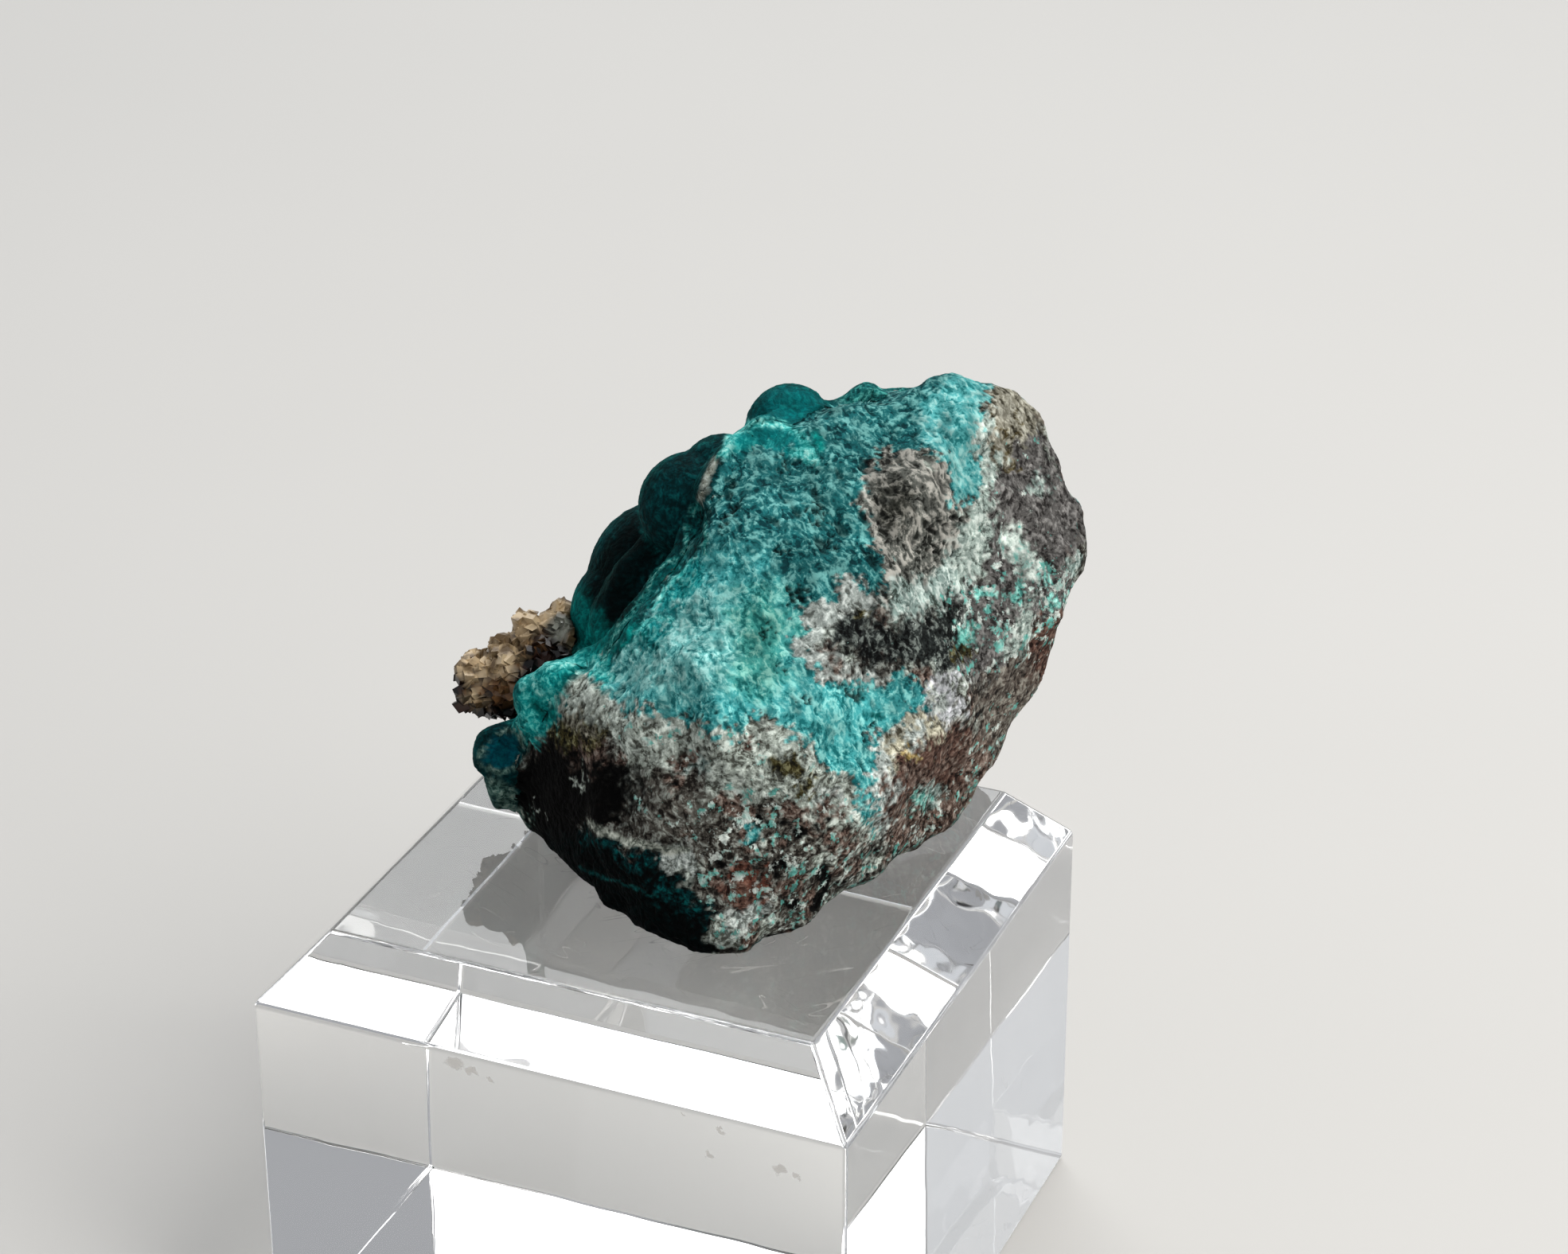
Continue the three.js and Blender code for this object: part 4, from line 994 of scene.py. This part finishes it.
def worked_in(piece, tree, values):
    """Runs a piece through a node tree, with the values set on the tree's inputs."""
    modifier = piece.modifiers.new(tree.name, "NODES")
    modifier.node_group = tree
    for item in tree.interface.items_tree:
        if item.in_out == "INPUT" and item.name in values:
            modifier[item.identifier] = values[item.name]
    return baked(piece)


def relief_tree():
    """Geometry nodes that raise the fine relief on a piece along its own normals."""
    nodes, given = new_group("mineral relief", {
        "Crest height": ("Float", 0.0002), "Pit depth": ("Float", 0.0003),
        "Lump height": ("Float", 0.0004), "Lump size": ("Float", 2.4),
    })
    rest, height, holes = mineral_texture(nodes)
    crest = nodes.times(nodes.minus(height, 0.5), given["Crest height"])
    scale = nodes.math("DIVIDE", 1.0, given["Lump size"])
    lump = nodes.add(
        "ShaderNodeTexNoise", {"Vector": rest, "W": 11.0, "Scale": scale, "Detail": 2.0},
        noise_dimensions="4D",
    ).outputs[0]
    broad = nodes.times(nodes.minus(lump, 0.5), given["Lump height"])
    rise = nodes.minus(nodes.plus(crest, broad), nodes.times(holes, given["Pit depth"]))
    normal = nodes.add("GeometryNodeInputNormal").outputs[0]
    moved = nodes.add(
        "GeometryNodeSetPosition",
        {"Geometry": given["Geometry"], "Offset": nodes.vector("SCALE", normal, rise)},
    )
    return end_group(nodes, given, moved.outputs[0])


def new_material(name):
    material = bpy.data.materials.new(name)
    material.use_nodes = True
    material.node_tree.nodes.clear()
    return material, Nodes(material.node_tree)


def finish_material(nodes, shader):
    nodes.add("ShaderNodeOutputMaterial", {"Surface": shader.outputs[0]})


def mineral_material(name, constants, bump):
    """The crusty finish: colours by height with painted shade and highlight, painted shade in the pits,
    specks, and a fine grain in the bump.
    """
    material, nodes = new_material(name)
    rest, height, holes = mineral_texture(nodes)
    tiny = nodes.noise(rest, 0.13, 4.0, 2.0).outputs[0]
    level = nodes.plus(height, nodes.times(nodes.minus(tiny, 0.5), 0.4))
    hollow, body, crest = (nodes.named(name, "FLOAT_COLOR") for name in COLOUR_LAYERS)
    # Hollows take the darker colour and crests the paler one: the coat's own tone, with painted shade and
    # highlight.
    colour = nodes.blend(nodes.step(level, 0.18, 0.48), hollow, body)
    colour = nodes.blend(nodes.step(level, 0.48, 0.84), colour, crest)
    wanted = nodes.named("specks")
    mottle = nodes.noise(rest, 0.8, 8.0, 4.0, 0.68).outputs[0]
    above = nodes.minus(mottle, nodes.minus(0.7, nodes.times(wanted, 0.4)))
    dot = nodes.times(nodes.step(above, -0.01, 0.05), nodes.step(wanted, 0.02, 0.1))
    kind = nodes.step(nodes.noise(rest, 0.9, 6.0, 2.0).outputs[0], 0.4, 0.6)
    speck = nodes.blend(kind, (*SPECK_TEAL, 1), (*SPECK_WHITE, 1))
    # Specks in the hollows are darkened as painted shade.
    speck = nodes.vector("SCALE", speck, nodes.step(level, 0.1, 0.9, 0.6, 1.05))
    colour = nodes.blend(dot, colour, speck)
    # Painted shade in the pits, with random tone laid over it next.
    shade = nodes.minus(1.0, nodes.times(holes, 0.88))
    for size, low, high in ((2.4, 0.78, 1.18), (0.8, 0.74, 1.22)):
        tone = nodes.noise(rest, size, 9.0, 2.0).outputs[0]
        shade = nodes.times(shade, nodes.step(tone, 0.3, 0.7, low, high))
    grain = nodes.add("ShaderNodeBump", {"Height": level, "Strength": bump, "Distance": 0.00012})
    shader = nodes.add("ShaderNodeBsdfPrincipled", {
        "Base Color": nodes.vector("SCALE", colour, shade), "Normal": grain.outputs[0], **constants,
    })
    finish_material(nodes, shader)
    return material


# ---------------------------------------------------------------- settings


class BlockSettings(PropertyGroup):
    edge: FloatProperty(
        name="Edge rounding", description="Radius of the polished edges", default=0.00022,
        min=0.00005, max=0.001, subtype="DISTANCE", unit="LENGTH",
    )
    wave: FloatProperty(
        name="Polish waves", description="How strongly the flame polish bends what is seen through it",
        default=0.05, min=0.0, max=1.0, subtype="FACTOR",
    )
    refraction: FloatProperty(
        name="Refraction", description="Index of refraction of the clear block", default=1.49,
        min=1.3, max=1.8,
    )


class RockSettings(PropertyGroup):
    quad: FloatProperty(
        name="Quad size", description="Side of the even quads that the rock is rebuilt from",
        default=0.00032, min=0.0002, max=0.001, subtype="DISTANCE", unit="LENGTH",
    )
    crest: FloatProperty(
        name="Crest height", description="Height of the fine crests over their hollows",
        default=0.00013, min=0.0, max=0.001, subtype="DISTANCE", unit="LENGTH",
    )
    pit: FloatProperty(
        name="Pit depth", description="Depth of the open pits", default=0.00022, min=0.0, max=0.001,
        subtype="DISTANCE", unit="LENGTH",
    )
    lump: FloatProperty(
        name="Lump height", description="Height of the broad lumps", default=0.0006, min=0.0, max=0.002,
        subtype="DISTANCE", unit="LENGTH",
    )
    ragged: FloatProperty(
        name="Ragged edges",
        description="How far the edges of the coloured patches wander, in millimetres",
        default=0.75, min=0.0, max=2.0,
    )


class CrustSettings(PropertyGroup):
    quad: FloatProperty(
        name="Quad size", description="Side of the even quads that the crust is rebuilt from",
        default=0.00018, min=0.00015, max=0.001, subtype="DISTANCE", unit="LENGTH",
    )
    nap: FloatProperty(
        name="Nap height", description="Height of the fine velvet of crystals", default=0.00007,
        min=0.0, max=0.0005, subtype="DISTANCE", unit="LENGTH",
    )
    sheen: FloatProperty(
        name="Sheen", description="How strongly the velvet lights up where it is seen on edge",
        default=0.2, min=0.0, max=1.0, subtype="FACTOR",
    )


class CalciteSettings(PropertyGroup):
    grains: FloatProperty(
        name="Crystals to a square centimetre", description="Small crystals grown on the cluster",
        default=300.0, min=0.0, max=2000.0,
    )
    grain: FloatProperty(
        name="Crystal size", description="Edge of the small crystals", default=0.0008, min=0.0002,
        max=0.003, subtype="DISTANCE", unit="LENGTH",
    )
    seed: IntProperty(name="Seed", description="Picks one scatter of the crystals", default=6, min=0)


class StageSettings(PropertyGroup):
    floor: FloatVectorProperty(
        name="Floor colour", description="Colour of the plain floor", default=srgb(200, 198, 194), size=3,
        min=0.0, max=1.0, subtype="COLOR",
    )
    key: FloatProperty(
        name="Key light", description="Power of the large soft light", default=2.9, min=0.0,
        subtype="POWER", unit="POWER",
    )
    window: FloatProperty(
        name="Window light", description="Power of the soft light from behind", default=1.5, min=0.0,
        subtype="POWER", unit="POWER",
    )
    sky: FloatProperty(
        name="Room light", description="Strength of the even light from all round", default=0.4, min=0.0,
    )
    bounces: IntProperty(
        name="Light bounces", description="How often light may turn inside the clear block", default=32,
        min=4, max=128,
    )

# ---------------------------------------------------------------- the pieces


class SPECIMEN_OT_rock(Operator):
    """Makes the broken rock with its blue-green coat"""

    bl_idname = "specimen.rock"
    bl_label = "Rock"

    def execute(self, context):
        chosen = context.scene.specimen_rock
        piece = rounded_piece("matrix_rock", "matrix", chosen.quad)
        crust = rounded_piece("beside", "rosasite_crust", chosen.quad)
        skin = joined_skin(piece.data, crust.data)
        refine_front(piece)
        swell(piece.data, ROCK_SWELL)
        fill_groove(piece.data, crust.data, skin)
        bpy.data.objects.remove(crust)
        self.paint(piece.data, chosen.ragged)
        constants = {"Roughness": 0.8, "Specular IOR Level": 0.06}
        settle(worked_in(piece, relief_tree(), {
            "Crest height": chosen.crest, "Pit depth": chosen.pit, "Lump height": chosen.lump,
            "Material": mineral_material("coated rock", constants, 0.6),
        }))
        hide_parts("matrix")
        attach(piece, "root")
        return {"FINISHED"}

    def paint(self, mesh, ragged):
        coats = Coats(mesh, "rock", 3.0, ragged)
        away = 1 - coats.facing
        coats.scattered(5.0, 0.12, "grey", 21.0, away)
        coats.scattered(4.0, 0.16, "brown", 33.0, away)
        coats.scattered(5.5, 0.10, "coat", 45.0, away, lace=1.0, pitting=0.7)
        coats.scattered(2.6, 0.2, "pale", 57.0)
        coats.scattered(2.0, 0.24, "brown", 63.0)
        coats.scattered(1.5, 0.28, "black", 65.0)
        for row in ROCK_PATCHES:
            coats.patch(*row)
        inside = coats.within(COAT, 0.15) * coats.facing
        coats.lay(inside, "coat", lace=0.65, pitting=0.8)
        for outline, finish, soft, *texture in COAT_TONES:
            coats.lay(coats.within(outline, soft) * inside, finish, *texture)
        for row in RIM_PATCHES + OVER_COAT:
            coats.patch(*row)
        for row in SPOTS:
            coats.spot(*row)
        # Painted light: the front dome in a lighter, smooth teal.
        coats.patch(FRONT_DOME, "dome_lit", 0.1, lace=0.0, pitting=0.0)
        for row in LINES:
            coats.line(*row)
        coats.line(UNDER_RIDGE, 0.2, "bead")
        coats.line(UNDER_SEAM, 0.07, "rim_line")
        for outline, density in SPECKLED:
            share = coats.within(outline, 0.6) * coats.facing
            coats.specks = np.maximum(coats.specks, share * density * (1 - inside))
        coats.specks = np.maximum(coats.specks, 0.12 * away)
        for middle, radius in PITS:
            hole = disc(coats.spots, middle, radius, 0.6, 1.1) * coats.facing
            coats.holes = np.maximum(coats.holes, hole)
        coats.store()


class SPECIMEN_OT_crust(Operator):
    """Makes the velvety crust that lines the hollow"""

    bl_idname = "specimen.crust"
    bl_label = "Rosasite crust"

    def execute(self, context):
        chosen = context.scene.specimen_crust
        piece = rounded_piece("rosasite_velvet", "rosasite_crust", chosen.quad)
        rock = rounded_piece("beside", "matrix", SKIN_QUAD)
        skin = joined_skin(piece.data, rock.data)
        swell(piece.data, CRUST_SWELL)
        self.round_off(piece.data)
        fill_groove(piece.data, rock.data, skin)
        bpy.data.objects.remove(rock)
        self.paint(piece.data)
        constants = {
            "Roughness": 0.8, "Specular IOR Level": 0.05, "Sheen Weight": chosen.sheen,
            "Sheen Roughness": 0.3, "Sheen Tint": (*srgb(10, 150, 140), 1),
        }
        settle(worked_in(piece, relief_tree(), {
            "Crest height": chosen.nap, "Pit depth": 0.00025, "Lump height": 0.0001, "Lump size": 2.4,
            "Material": mineral_material("velvet crust", constants, 0.5),
        }))
        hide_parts("rosasite_crust")
        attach(piece, "root")
        return {"FINISHED"}

    def round_off(self, mesh):
        """Draws the surface onto the true domes and ribs wherever it runs close to one."""
        points = to_face(get_points(mesh))
        nearest = np.full(len(points), np.inf)
        away = np.zeros_like(points)

        def keep_closer(offset, radius):
            length = np.linalg.norm(offset, axis=1)
            closer = length - radius < nearest
            nearest[closer] = (length - radius)[closer]
            away[closer] = (offset / length[:, None])[closer]

        for x, y, z, radius in DOMES:
            keep_closer(points - (x, y, z), radius)
        for row in RIBS:
            for start, end in zip(np.array(row[:-1]), np.array(row[1:])):
                along = end[:3] - start[:3]
                share = np.clip((points - start[:3]) @ along / (along @ along), 0, 1)
                offset = points - start[:3] - share[:, None] * along
                keep_closer(offset, start[3] + share * (end[3] - start[3]))
        hold = 1 - smoothstep(*HOLD, np.abs(nearest))
        points -= away * (nearest * hold)[:, None]
        set_points(mesh, to_room(points))

    def paint(self, mesh):
        coats = Coats(mesh, "velvet", 5.0, 0.35)
        coats.pitting[:] = 0.0
        coats.scattered(3.0, 0.22, "rim", 71.0, 1 - coats.facing)
        points = coats.points
        ruffles = smoothstep(26.2, 27.0, points[:, 1]) * smoothstep(9.4, 10.4, points[:, 0])
        coats.lay(ruffles, "ruffle", lace=0.4, pitting=0.2)
        for row in CRUST_PATCHES:
            coats.patch(*row)
        # Painted light: the dome the light reaches gets the lighter dome teal, without lace or pits.
        coats.spot(*LIT_DOME, "dome")
        dome = disc(coats.plain_spots, *LIT_DOME, 0.8, 1.0)
        coats.lace *= 1 - dome
        coats.pitting *= 1 - dome
        in_front = smoothstep(-4.0, -2.0, points[:, 2])
        for row in LINES:
            coats.line(*row, in_front)
        coats.store()


def rhomb(edge):
    """A calcite rhomb of six faces around the origin, as a mesh."""
    angle = math.radians(102)
    lift = math.sqrt((1 + 2 * math.cos(angle)) / 3)
    spread = math.sqrt(1 - lift * lift)
    sides = [
        Vector((spread * math.cos(turn), spread * math.sin(turn), lift))
        for turn in (0, 2 * math.pi / 3, 4 * math.pi / 3)
    ]
    mesh = bpy.data.meshes.new("rhomb")
    with edited(mesh) as work:
        for corner in range(8):
            spot = Vector()
            for index, side in enumerate(sides):
                spot += side * (edge / 2 if corner >> index & 1 else -edge / 2)
            work.verts.new(spot)
        bmesh.ops.convex_hull(work, input=work.verts)
        bmesh.ops.recalc_face_normals(work, faces=work.faces)
    return mesh


def scatter_tree():
    """Geometry nodes that grow small crystals over a piece and keep the piece with them."""
    nodes, given = new_group("crystal growth", {
        "Crystal": ("Object", None), "Density": ("Float", 1e6), "Least size": ("Vector", (0.4, 0.4, 0.4)),
        "Greatest size": ("Vector", (1.2, 1.2, 1.2)), "Seed": ("Int", None),
    })
    seed = given["Seed"]
    points = nodes.add(
        "GeometryNodeDistributePointsOnFaces",
        {"Mesh": given["Geometry"], "Density": given["Density"], "Seed": seed},
    )
    crystal = nodes.add("GeometryNodeObjectInfo", {"Object": given["Crystal"]})
    turn = nodes.add(
        "FunctionNodeRandomValue", {"Seed": seed, "Max": (6.28, 6.28, 6.28)}, data_type="FLOAT_VECTOR",
    )
    size = nodes.add(
        "FunctionNodeRandomValue", {"Seed": seed, 0: given["Least size"], 1: given["Greatest size"]},
        data_type="FLOAT_VECTOR",
    )
    grown = nodes.add("GeometryNodeInstanceOnPoints", {
        "Points": points.outputs["Points"], "Instance": crystal.outputs["Geometry"],
        "Rotation": turn.outputs[0], "Scale": size.outputs[0],
    })
    joined = nodes.add("GeometryNodeJoinGeometry")
    for geometry in (grown.outputs[0], given["Geometry"]):
        nodes.feed(joined.inputs[0], geometry)
    return end_group(nodes, given, joined.outputs[0])


class SPECIMEN_OT_calcite(Operator):
    """Makes the cluster of calcite crystals"""

    bl_idname = "specimen.calcite"
    bl_label = "Calcite"

    def execute(self, context):
        chosen = context.scene.specimen_calcite
        piece = new_object("calcite_cluster", merged_copy("calcite_crystals"))
        subdivided(piece, 1, "SIMPLE")
        crystal = new_object("calcite_rhomb", rhomb(chosen.grain))
        self.paint(worked_in(piece, scatter_tree(), {
            "Crystal": crystal, "Density": chosen.grains * 1e4, "Seed": chosen.seed,
            "Least size": (0.3, 0.5, 0.6), "Greatest size": (0.7, 1.1, 1.4), "Material": self.material(),
        }))
        bpy.data.objects.remove(crystal)
        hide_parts("calcite_crystals")
        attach(piece, "root")
        return {"FINISHED"}

    def paint(self, mesh):
        """Marks the tan, cream and grey crystals, laid partly where the light falls on the cluster."""
        points = to_face(get_points(mesh))
        spots = seen(points) + 0.25 * noise_rows(points, 0.7, 31.0)[:, :2]
        for name, outlines in CALCITE_TONES.items():
            depth = np.max([depth_inside(spots, outline) for outline in outlines], axis=0)
            give(mesh, name, "FLOAT", smoothstep(-0.15, 0.15, depth))

    def material(self):
        material, nodes = new_material("tan calcite")
        spot = nodes.millimetres()
        lot = nodes.part(nodes.cells(spot, 0.9).outputs["Color"], 0)
        tone = nodes.noise(spot, 1.1, 3.0, 3.0).outputs[0]

        def mixed(share, low, high):
            return nodes.blend(share, (*srgb(*low), 1), (*srgb(*high), 1))

        tan = mixed(nodes.step(lot, 0.15, 0.85), (26, 13, 6), (106, 74, 44))
        tan = nodes.blend(nodes.step(tone, 0.54, 0.66), tan, (*srgb(140, 114, 82), 1))
        cream = mixed(nodes.step(tone, 0.38, 0.58), (100, 80, 54), (192, 170, 136))
        # The nearly black ground: dark crystals, with painted shade where the light doesn't fall.
        colour = mixed(nodes.step(lot, 0.5, 1.0), (2, 1, 1), (36, 17, 11))
        grey = (*srgb(118, 120, 110), 1)
        for name, lighter in zip(CALCITE_TONES, (tan, cream, grey)):
            colour = nodes.blend(nodes.named(name), colour, lighter)
        grain = nodes.noise(spot, 0.2, 5.0, 2.0).outputs[0]
        bump = nodes.add("ShaderNodeBump", {"Height": grain, "Strength": 0.25, "Distance": 0.00005})
        shader = nodes.add("ShaderNodeBsdfPrincipled", {
            "Base Color": colour, "Normal": bump.outputs[0], "Roughness": 0.35,
            "Specular IOR Level": 0.3, "Coat Weight": 0.1,
        })
        finish_material(nodes, shader)
        return material


class SPECIMEN_OT_block(Operator):
    """Makes the clear display block with its polished edges"""

    bl_idname = "specimen.block"
    bl_label = "Display block"

    def execute(self, context):
        chosen = context.scene.specimen_block
        piece = new_object("display_block_clear", merged_copy("display_block"))
        with edited(piece.data) as flat:
            bmesh.ops.dissolve_limit(flat, angle_limit=FLAT_ANGLE, verts=flat.verts, edges=flat.edges)
        edges = piece.modifiers.new("edges", "BEVEL")
        edges.width = chosen.edge
        edges.segments = 3
        edges.limit_method = "ANGLE"
        mesh = baked(piece)
        areas = np.empty(len(mesh.polygons))
        mesh.polygons.foreach_get("area", areas)
        mesh.polygons.foreach_set("use_smooth", areas < LARGE_FACE)
        mesh.materials.clear()
        mesh.materials.append(self.material(chosen))
        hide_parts("display_block")
        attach(piece, "root")
        return {"FINISHED"}

    def material(self, chosen):
        material, nodes = new_material("clear acrylic")
        spot = nodes.millimetres()
        wave = nodes.noise(spot, 5.0, 3.0, 1.0).outputs[0]
        waves = nodes.add("ShaderNodeBump", {"Height": wave, "Strength": chosen.wave, "Distance": 0.0004})
        clear = nodes.add("ShaderNodeBsdfPrincipled", {
            "Normal": waves.outputs[0], "Base Color": (0.95, 0.955, 0.955, 1), "Roughness": 0.01,
            "IOR": chosen.refraction, "Transmission Weight": 1.0,
        })
        dust = nodes.add(
            "ShaderNodeBsdfPrincipled", {"Base Color": (*srgb(214, 210, 204), 1), "Roughness": 0.9},
        )
        mixed = nodes.add(
            "ShaderNodeMixShader", {0: self.dusty(nodes, spot), 1: clear.outputs[0], 2: dust.outputs[0]},
        )
        finish_material(nodes, mixed)
        return material

    def dusty(self, nodes, spot):
        """How much dust covers each place: ragged flecks on the front, and hairline scratches on top."""
        ragged = nodes.bent(spot, spot, 0.5, 2.0, 3.0, 1.1)
        total = 0.0
        for (across, up), size in DUST:
            apart = nodes.vector("SUBTRACT", ragged, (across, -BLOCK_HALF, up))
            apart = nodes.vector("MULTIPLY", apart, (1.0, 1.0, 1.7))
            length = nodes.add("ShaderNodeVectorMath", {0: apart}, operation="LENGTH").outputs["Value"]
            total = nodes.math("MAXIMUM", total, nodes.step(length, size, size * 0.5, 0.0, 0.75))
        on_top = nodes.step(nodes.part(spot, 2), BLOCK_HEIGHT - 0.1, BLOCK_HEIGHT - 0.02)
        for angle, seed in ((0.5, 11.0), (-0.7, 17.0)):
            drawn = nodes.vector("MULTIPLY", nodes.turned(spot, angle), (0.16, 1.0, 1.0))
            value = nodes.noise(drawn, 1.6, seed, 1.0).outputs[0]
            off = nodes.math("ABSOLUTE", nodes.minus(value, 0.5))
            patchy = nodes.step(nodes.noise(spot, 3.0, seed, 1.0).outputs[0], 0.5, 0.62)
            hair = nodes.times(nodes.step(off, 0.006, 0.0, 0.0, 0.3), patchy)
            total = nodes.math("MAXIMUM", total, nodes.times(hair, on_top))
        return total


class SPECIMEN_OT_stage(Operator):
    """Makes the pale floor, the soft lights and the camera"""

    bl_idname = "specimen.stage"
    bl_label = "Stage"

    def execute(self, context):
        chosen = context.scene.specimen_stage
        scene = context.scene
        self.floor(chosen)
        self.light("key", (0.34, -0.02, 0.42), 0.42, chosen.key, (1.0, 0.985, 0.96))
        self.light("window", (-0.14, 0.36, 0.44), 0.40, chosen.window, (0.97, 0.99, 1.0))
        self.light("fill", (-0.30, -0.34, 0.24), 0.40, chosen.key * FILL_SHARE, (0.93, 0.97, 1.0))
        world = scene.world or bpy.data.worlds.new("room")
        scene.world = world
        world.use_nodes = True
        sky = world.node_tree.nodes["Background"]
        sky.inputs["Color"].default_value = (0.93, 0.95, 1.0, 1)
        sky.inputs["Strength"].default_value = chosen.sky
        scene.view_settings.view_transform = "Standard"
        light = scene.cycles
        light.max_bounces = light.transmission_bounces = light.glossy_bounces = chosen.bounces
        camera = bpy.data.cameras.new("camera")
        camera.lens = EYE_LENS
        camera.sensor_width = EYE_SENSOR
        camera.clip_start, camera.clip_end = 0.01, 10.0
        seat = new_object("camera", camera)
        turn = Matrix(FACE_AXES.T.tolist()) @ Matrix.Rotation(EYE_ROLL, 3, "Z")
        seat.matrix_world = Matrix.Translation(Vector(to_room(EYE))) @ turn.to_4x4()
        scene.camera = seat
        return {"FINISHED"}

    def floor(self, chosen):
        mesh = bpy.data.meshes.new("floor")
        sides = ((-1, -1), (1, -1), (1, 1), (-1, 1))
        corners = [(x * FLOOR_HALF, y * FLOOR_HALF, FLOOR_LEVEL) for x, y in sides]
        mesh.from_pydata(corners, [], [(0, 1, 2, 3)])
        floor = new_object("floor", mesh)
        material, nodes = new_material("floor")
        spot = nodes.add("ShaderNodeTexCoord").outputs["Object"]
        tone = nodes.noise(spot, 0.06, 1.0, 3.0).outputs[0]
        pale = (*chosen.floor, 1)
        dimmer = (*(value * 0.96 for value in chosen.floor), 1)
        shader = nodes.add(
            "ShaderNodeBsdfPrincipled", {"Base Color": nodes.blend(tone, pale, dimmer), "Roughness": 0.8},
        )
        finish_material(nodes, shader)
        mesh.materials.append(material)

    def light(self, name, place, size, power, colour):
        lamp = bpy.data.lights.new(name, "AREA")
        lamp.shape = "SQUARE"
        lamp.size = size
        lamp.energy = power
        lamp.color = colour
        holder = new_object(name, lamp)
        holder.location = place
        holder.rotation_euler = (AIM - Vector(place)).to_track_quat("-Z", "Y").to_euler()


class SPECIMEN_PT_pieces(Panel):
    """Lists the pieces of the specimen with their settings"""

    bl_idname = "SPECIMEN_PT_pieces"
    bl_label = "Specimen"
    bl_space_type = "VIEW_3D"
    bl_region_type = "UI"
    bl_category = "Specimen"

    def draw(self, context):
        for operator, settings in PIECES:
            box = self.layout.box()
            box.operator(operator.bl_idname)
            chosen = getattr(context.scene, settings)
            for name in chosen.__annotations__:
                box.prop(chosen, name)


SETTINGS = {
    "specimen_block": BlockSettings,
    "specimen_rock": RockSettings,
    "specimen_crust": CrustSettings,
    "specimen_calcite": CalciteSettings,
    "specimen_stage": StageSettings,
}
PIECES = [
    (SPECIMEN_OT_block, "specimen_block"),
    (SPECIMEN_OT_rock, "specimen_rock"),
    (SPECIMEN_OT_crust, "specimen_crust"),
    (SPECIMEN_OT_calcite, "specimen_calcite"),
    (SPECIMEN_OT_stage, "specimen_stage"),
]
CLASSES = [*SETTINGS.values(), *(operator for operator, _ in PIECES), SPECIMEN_PT_pieces]


def register():
    for item in CLASSES:
        bpy.utils.register_class(item)
    for name, settings in SETTINGS.items():
        setattr(bpy.types.Scene, name, PointerProperty(type=settings))


def unregister():
    for name in SETTINGS:
        delattr(bpy.types.Scene, name)
    for item in reversed(CLASSES):
        bpy.utils.unregister_class(item)


def main():
    register()
    bpy.ops.specimen.block()
    bpy.ops.specimen.rock()
    bpy.ops.specimen.crust()
    bpy.ops.specimen.calcite()
    bpy.ops.specimen.stage()


if __name__ == "__main__":
    main()
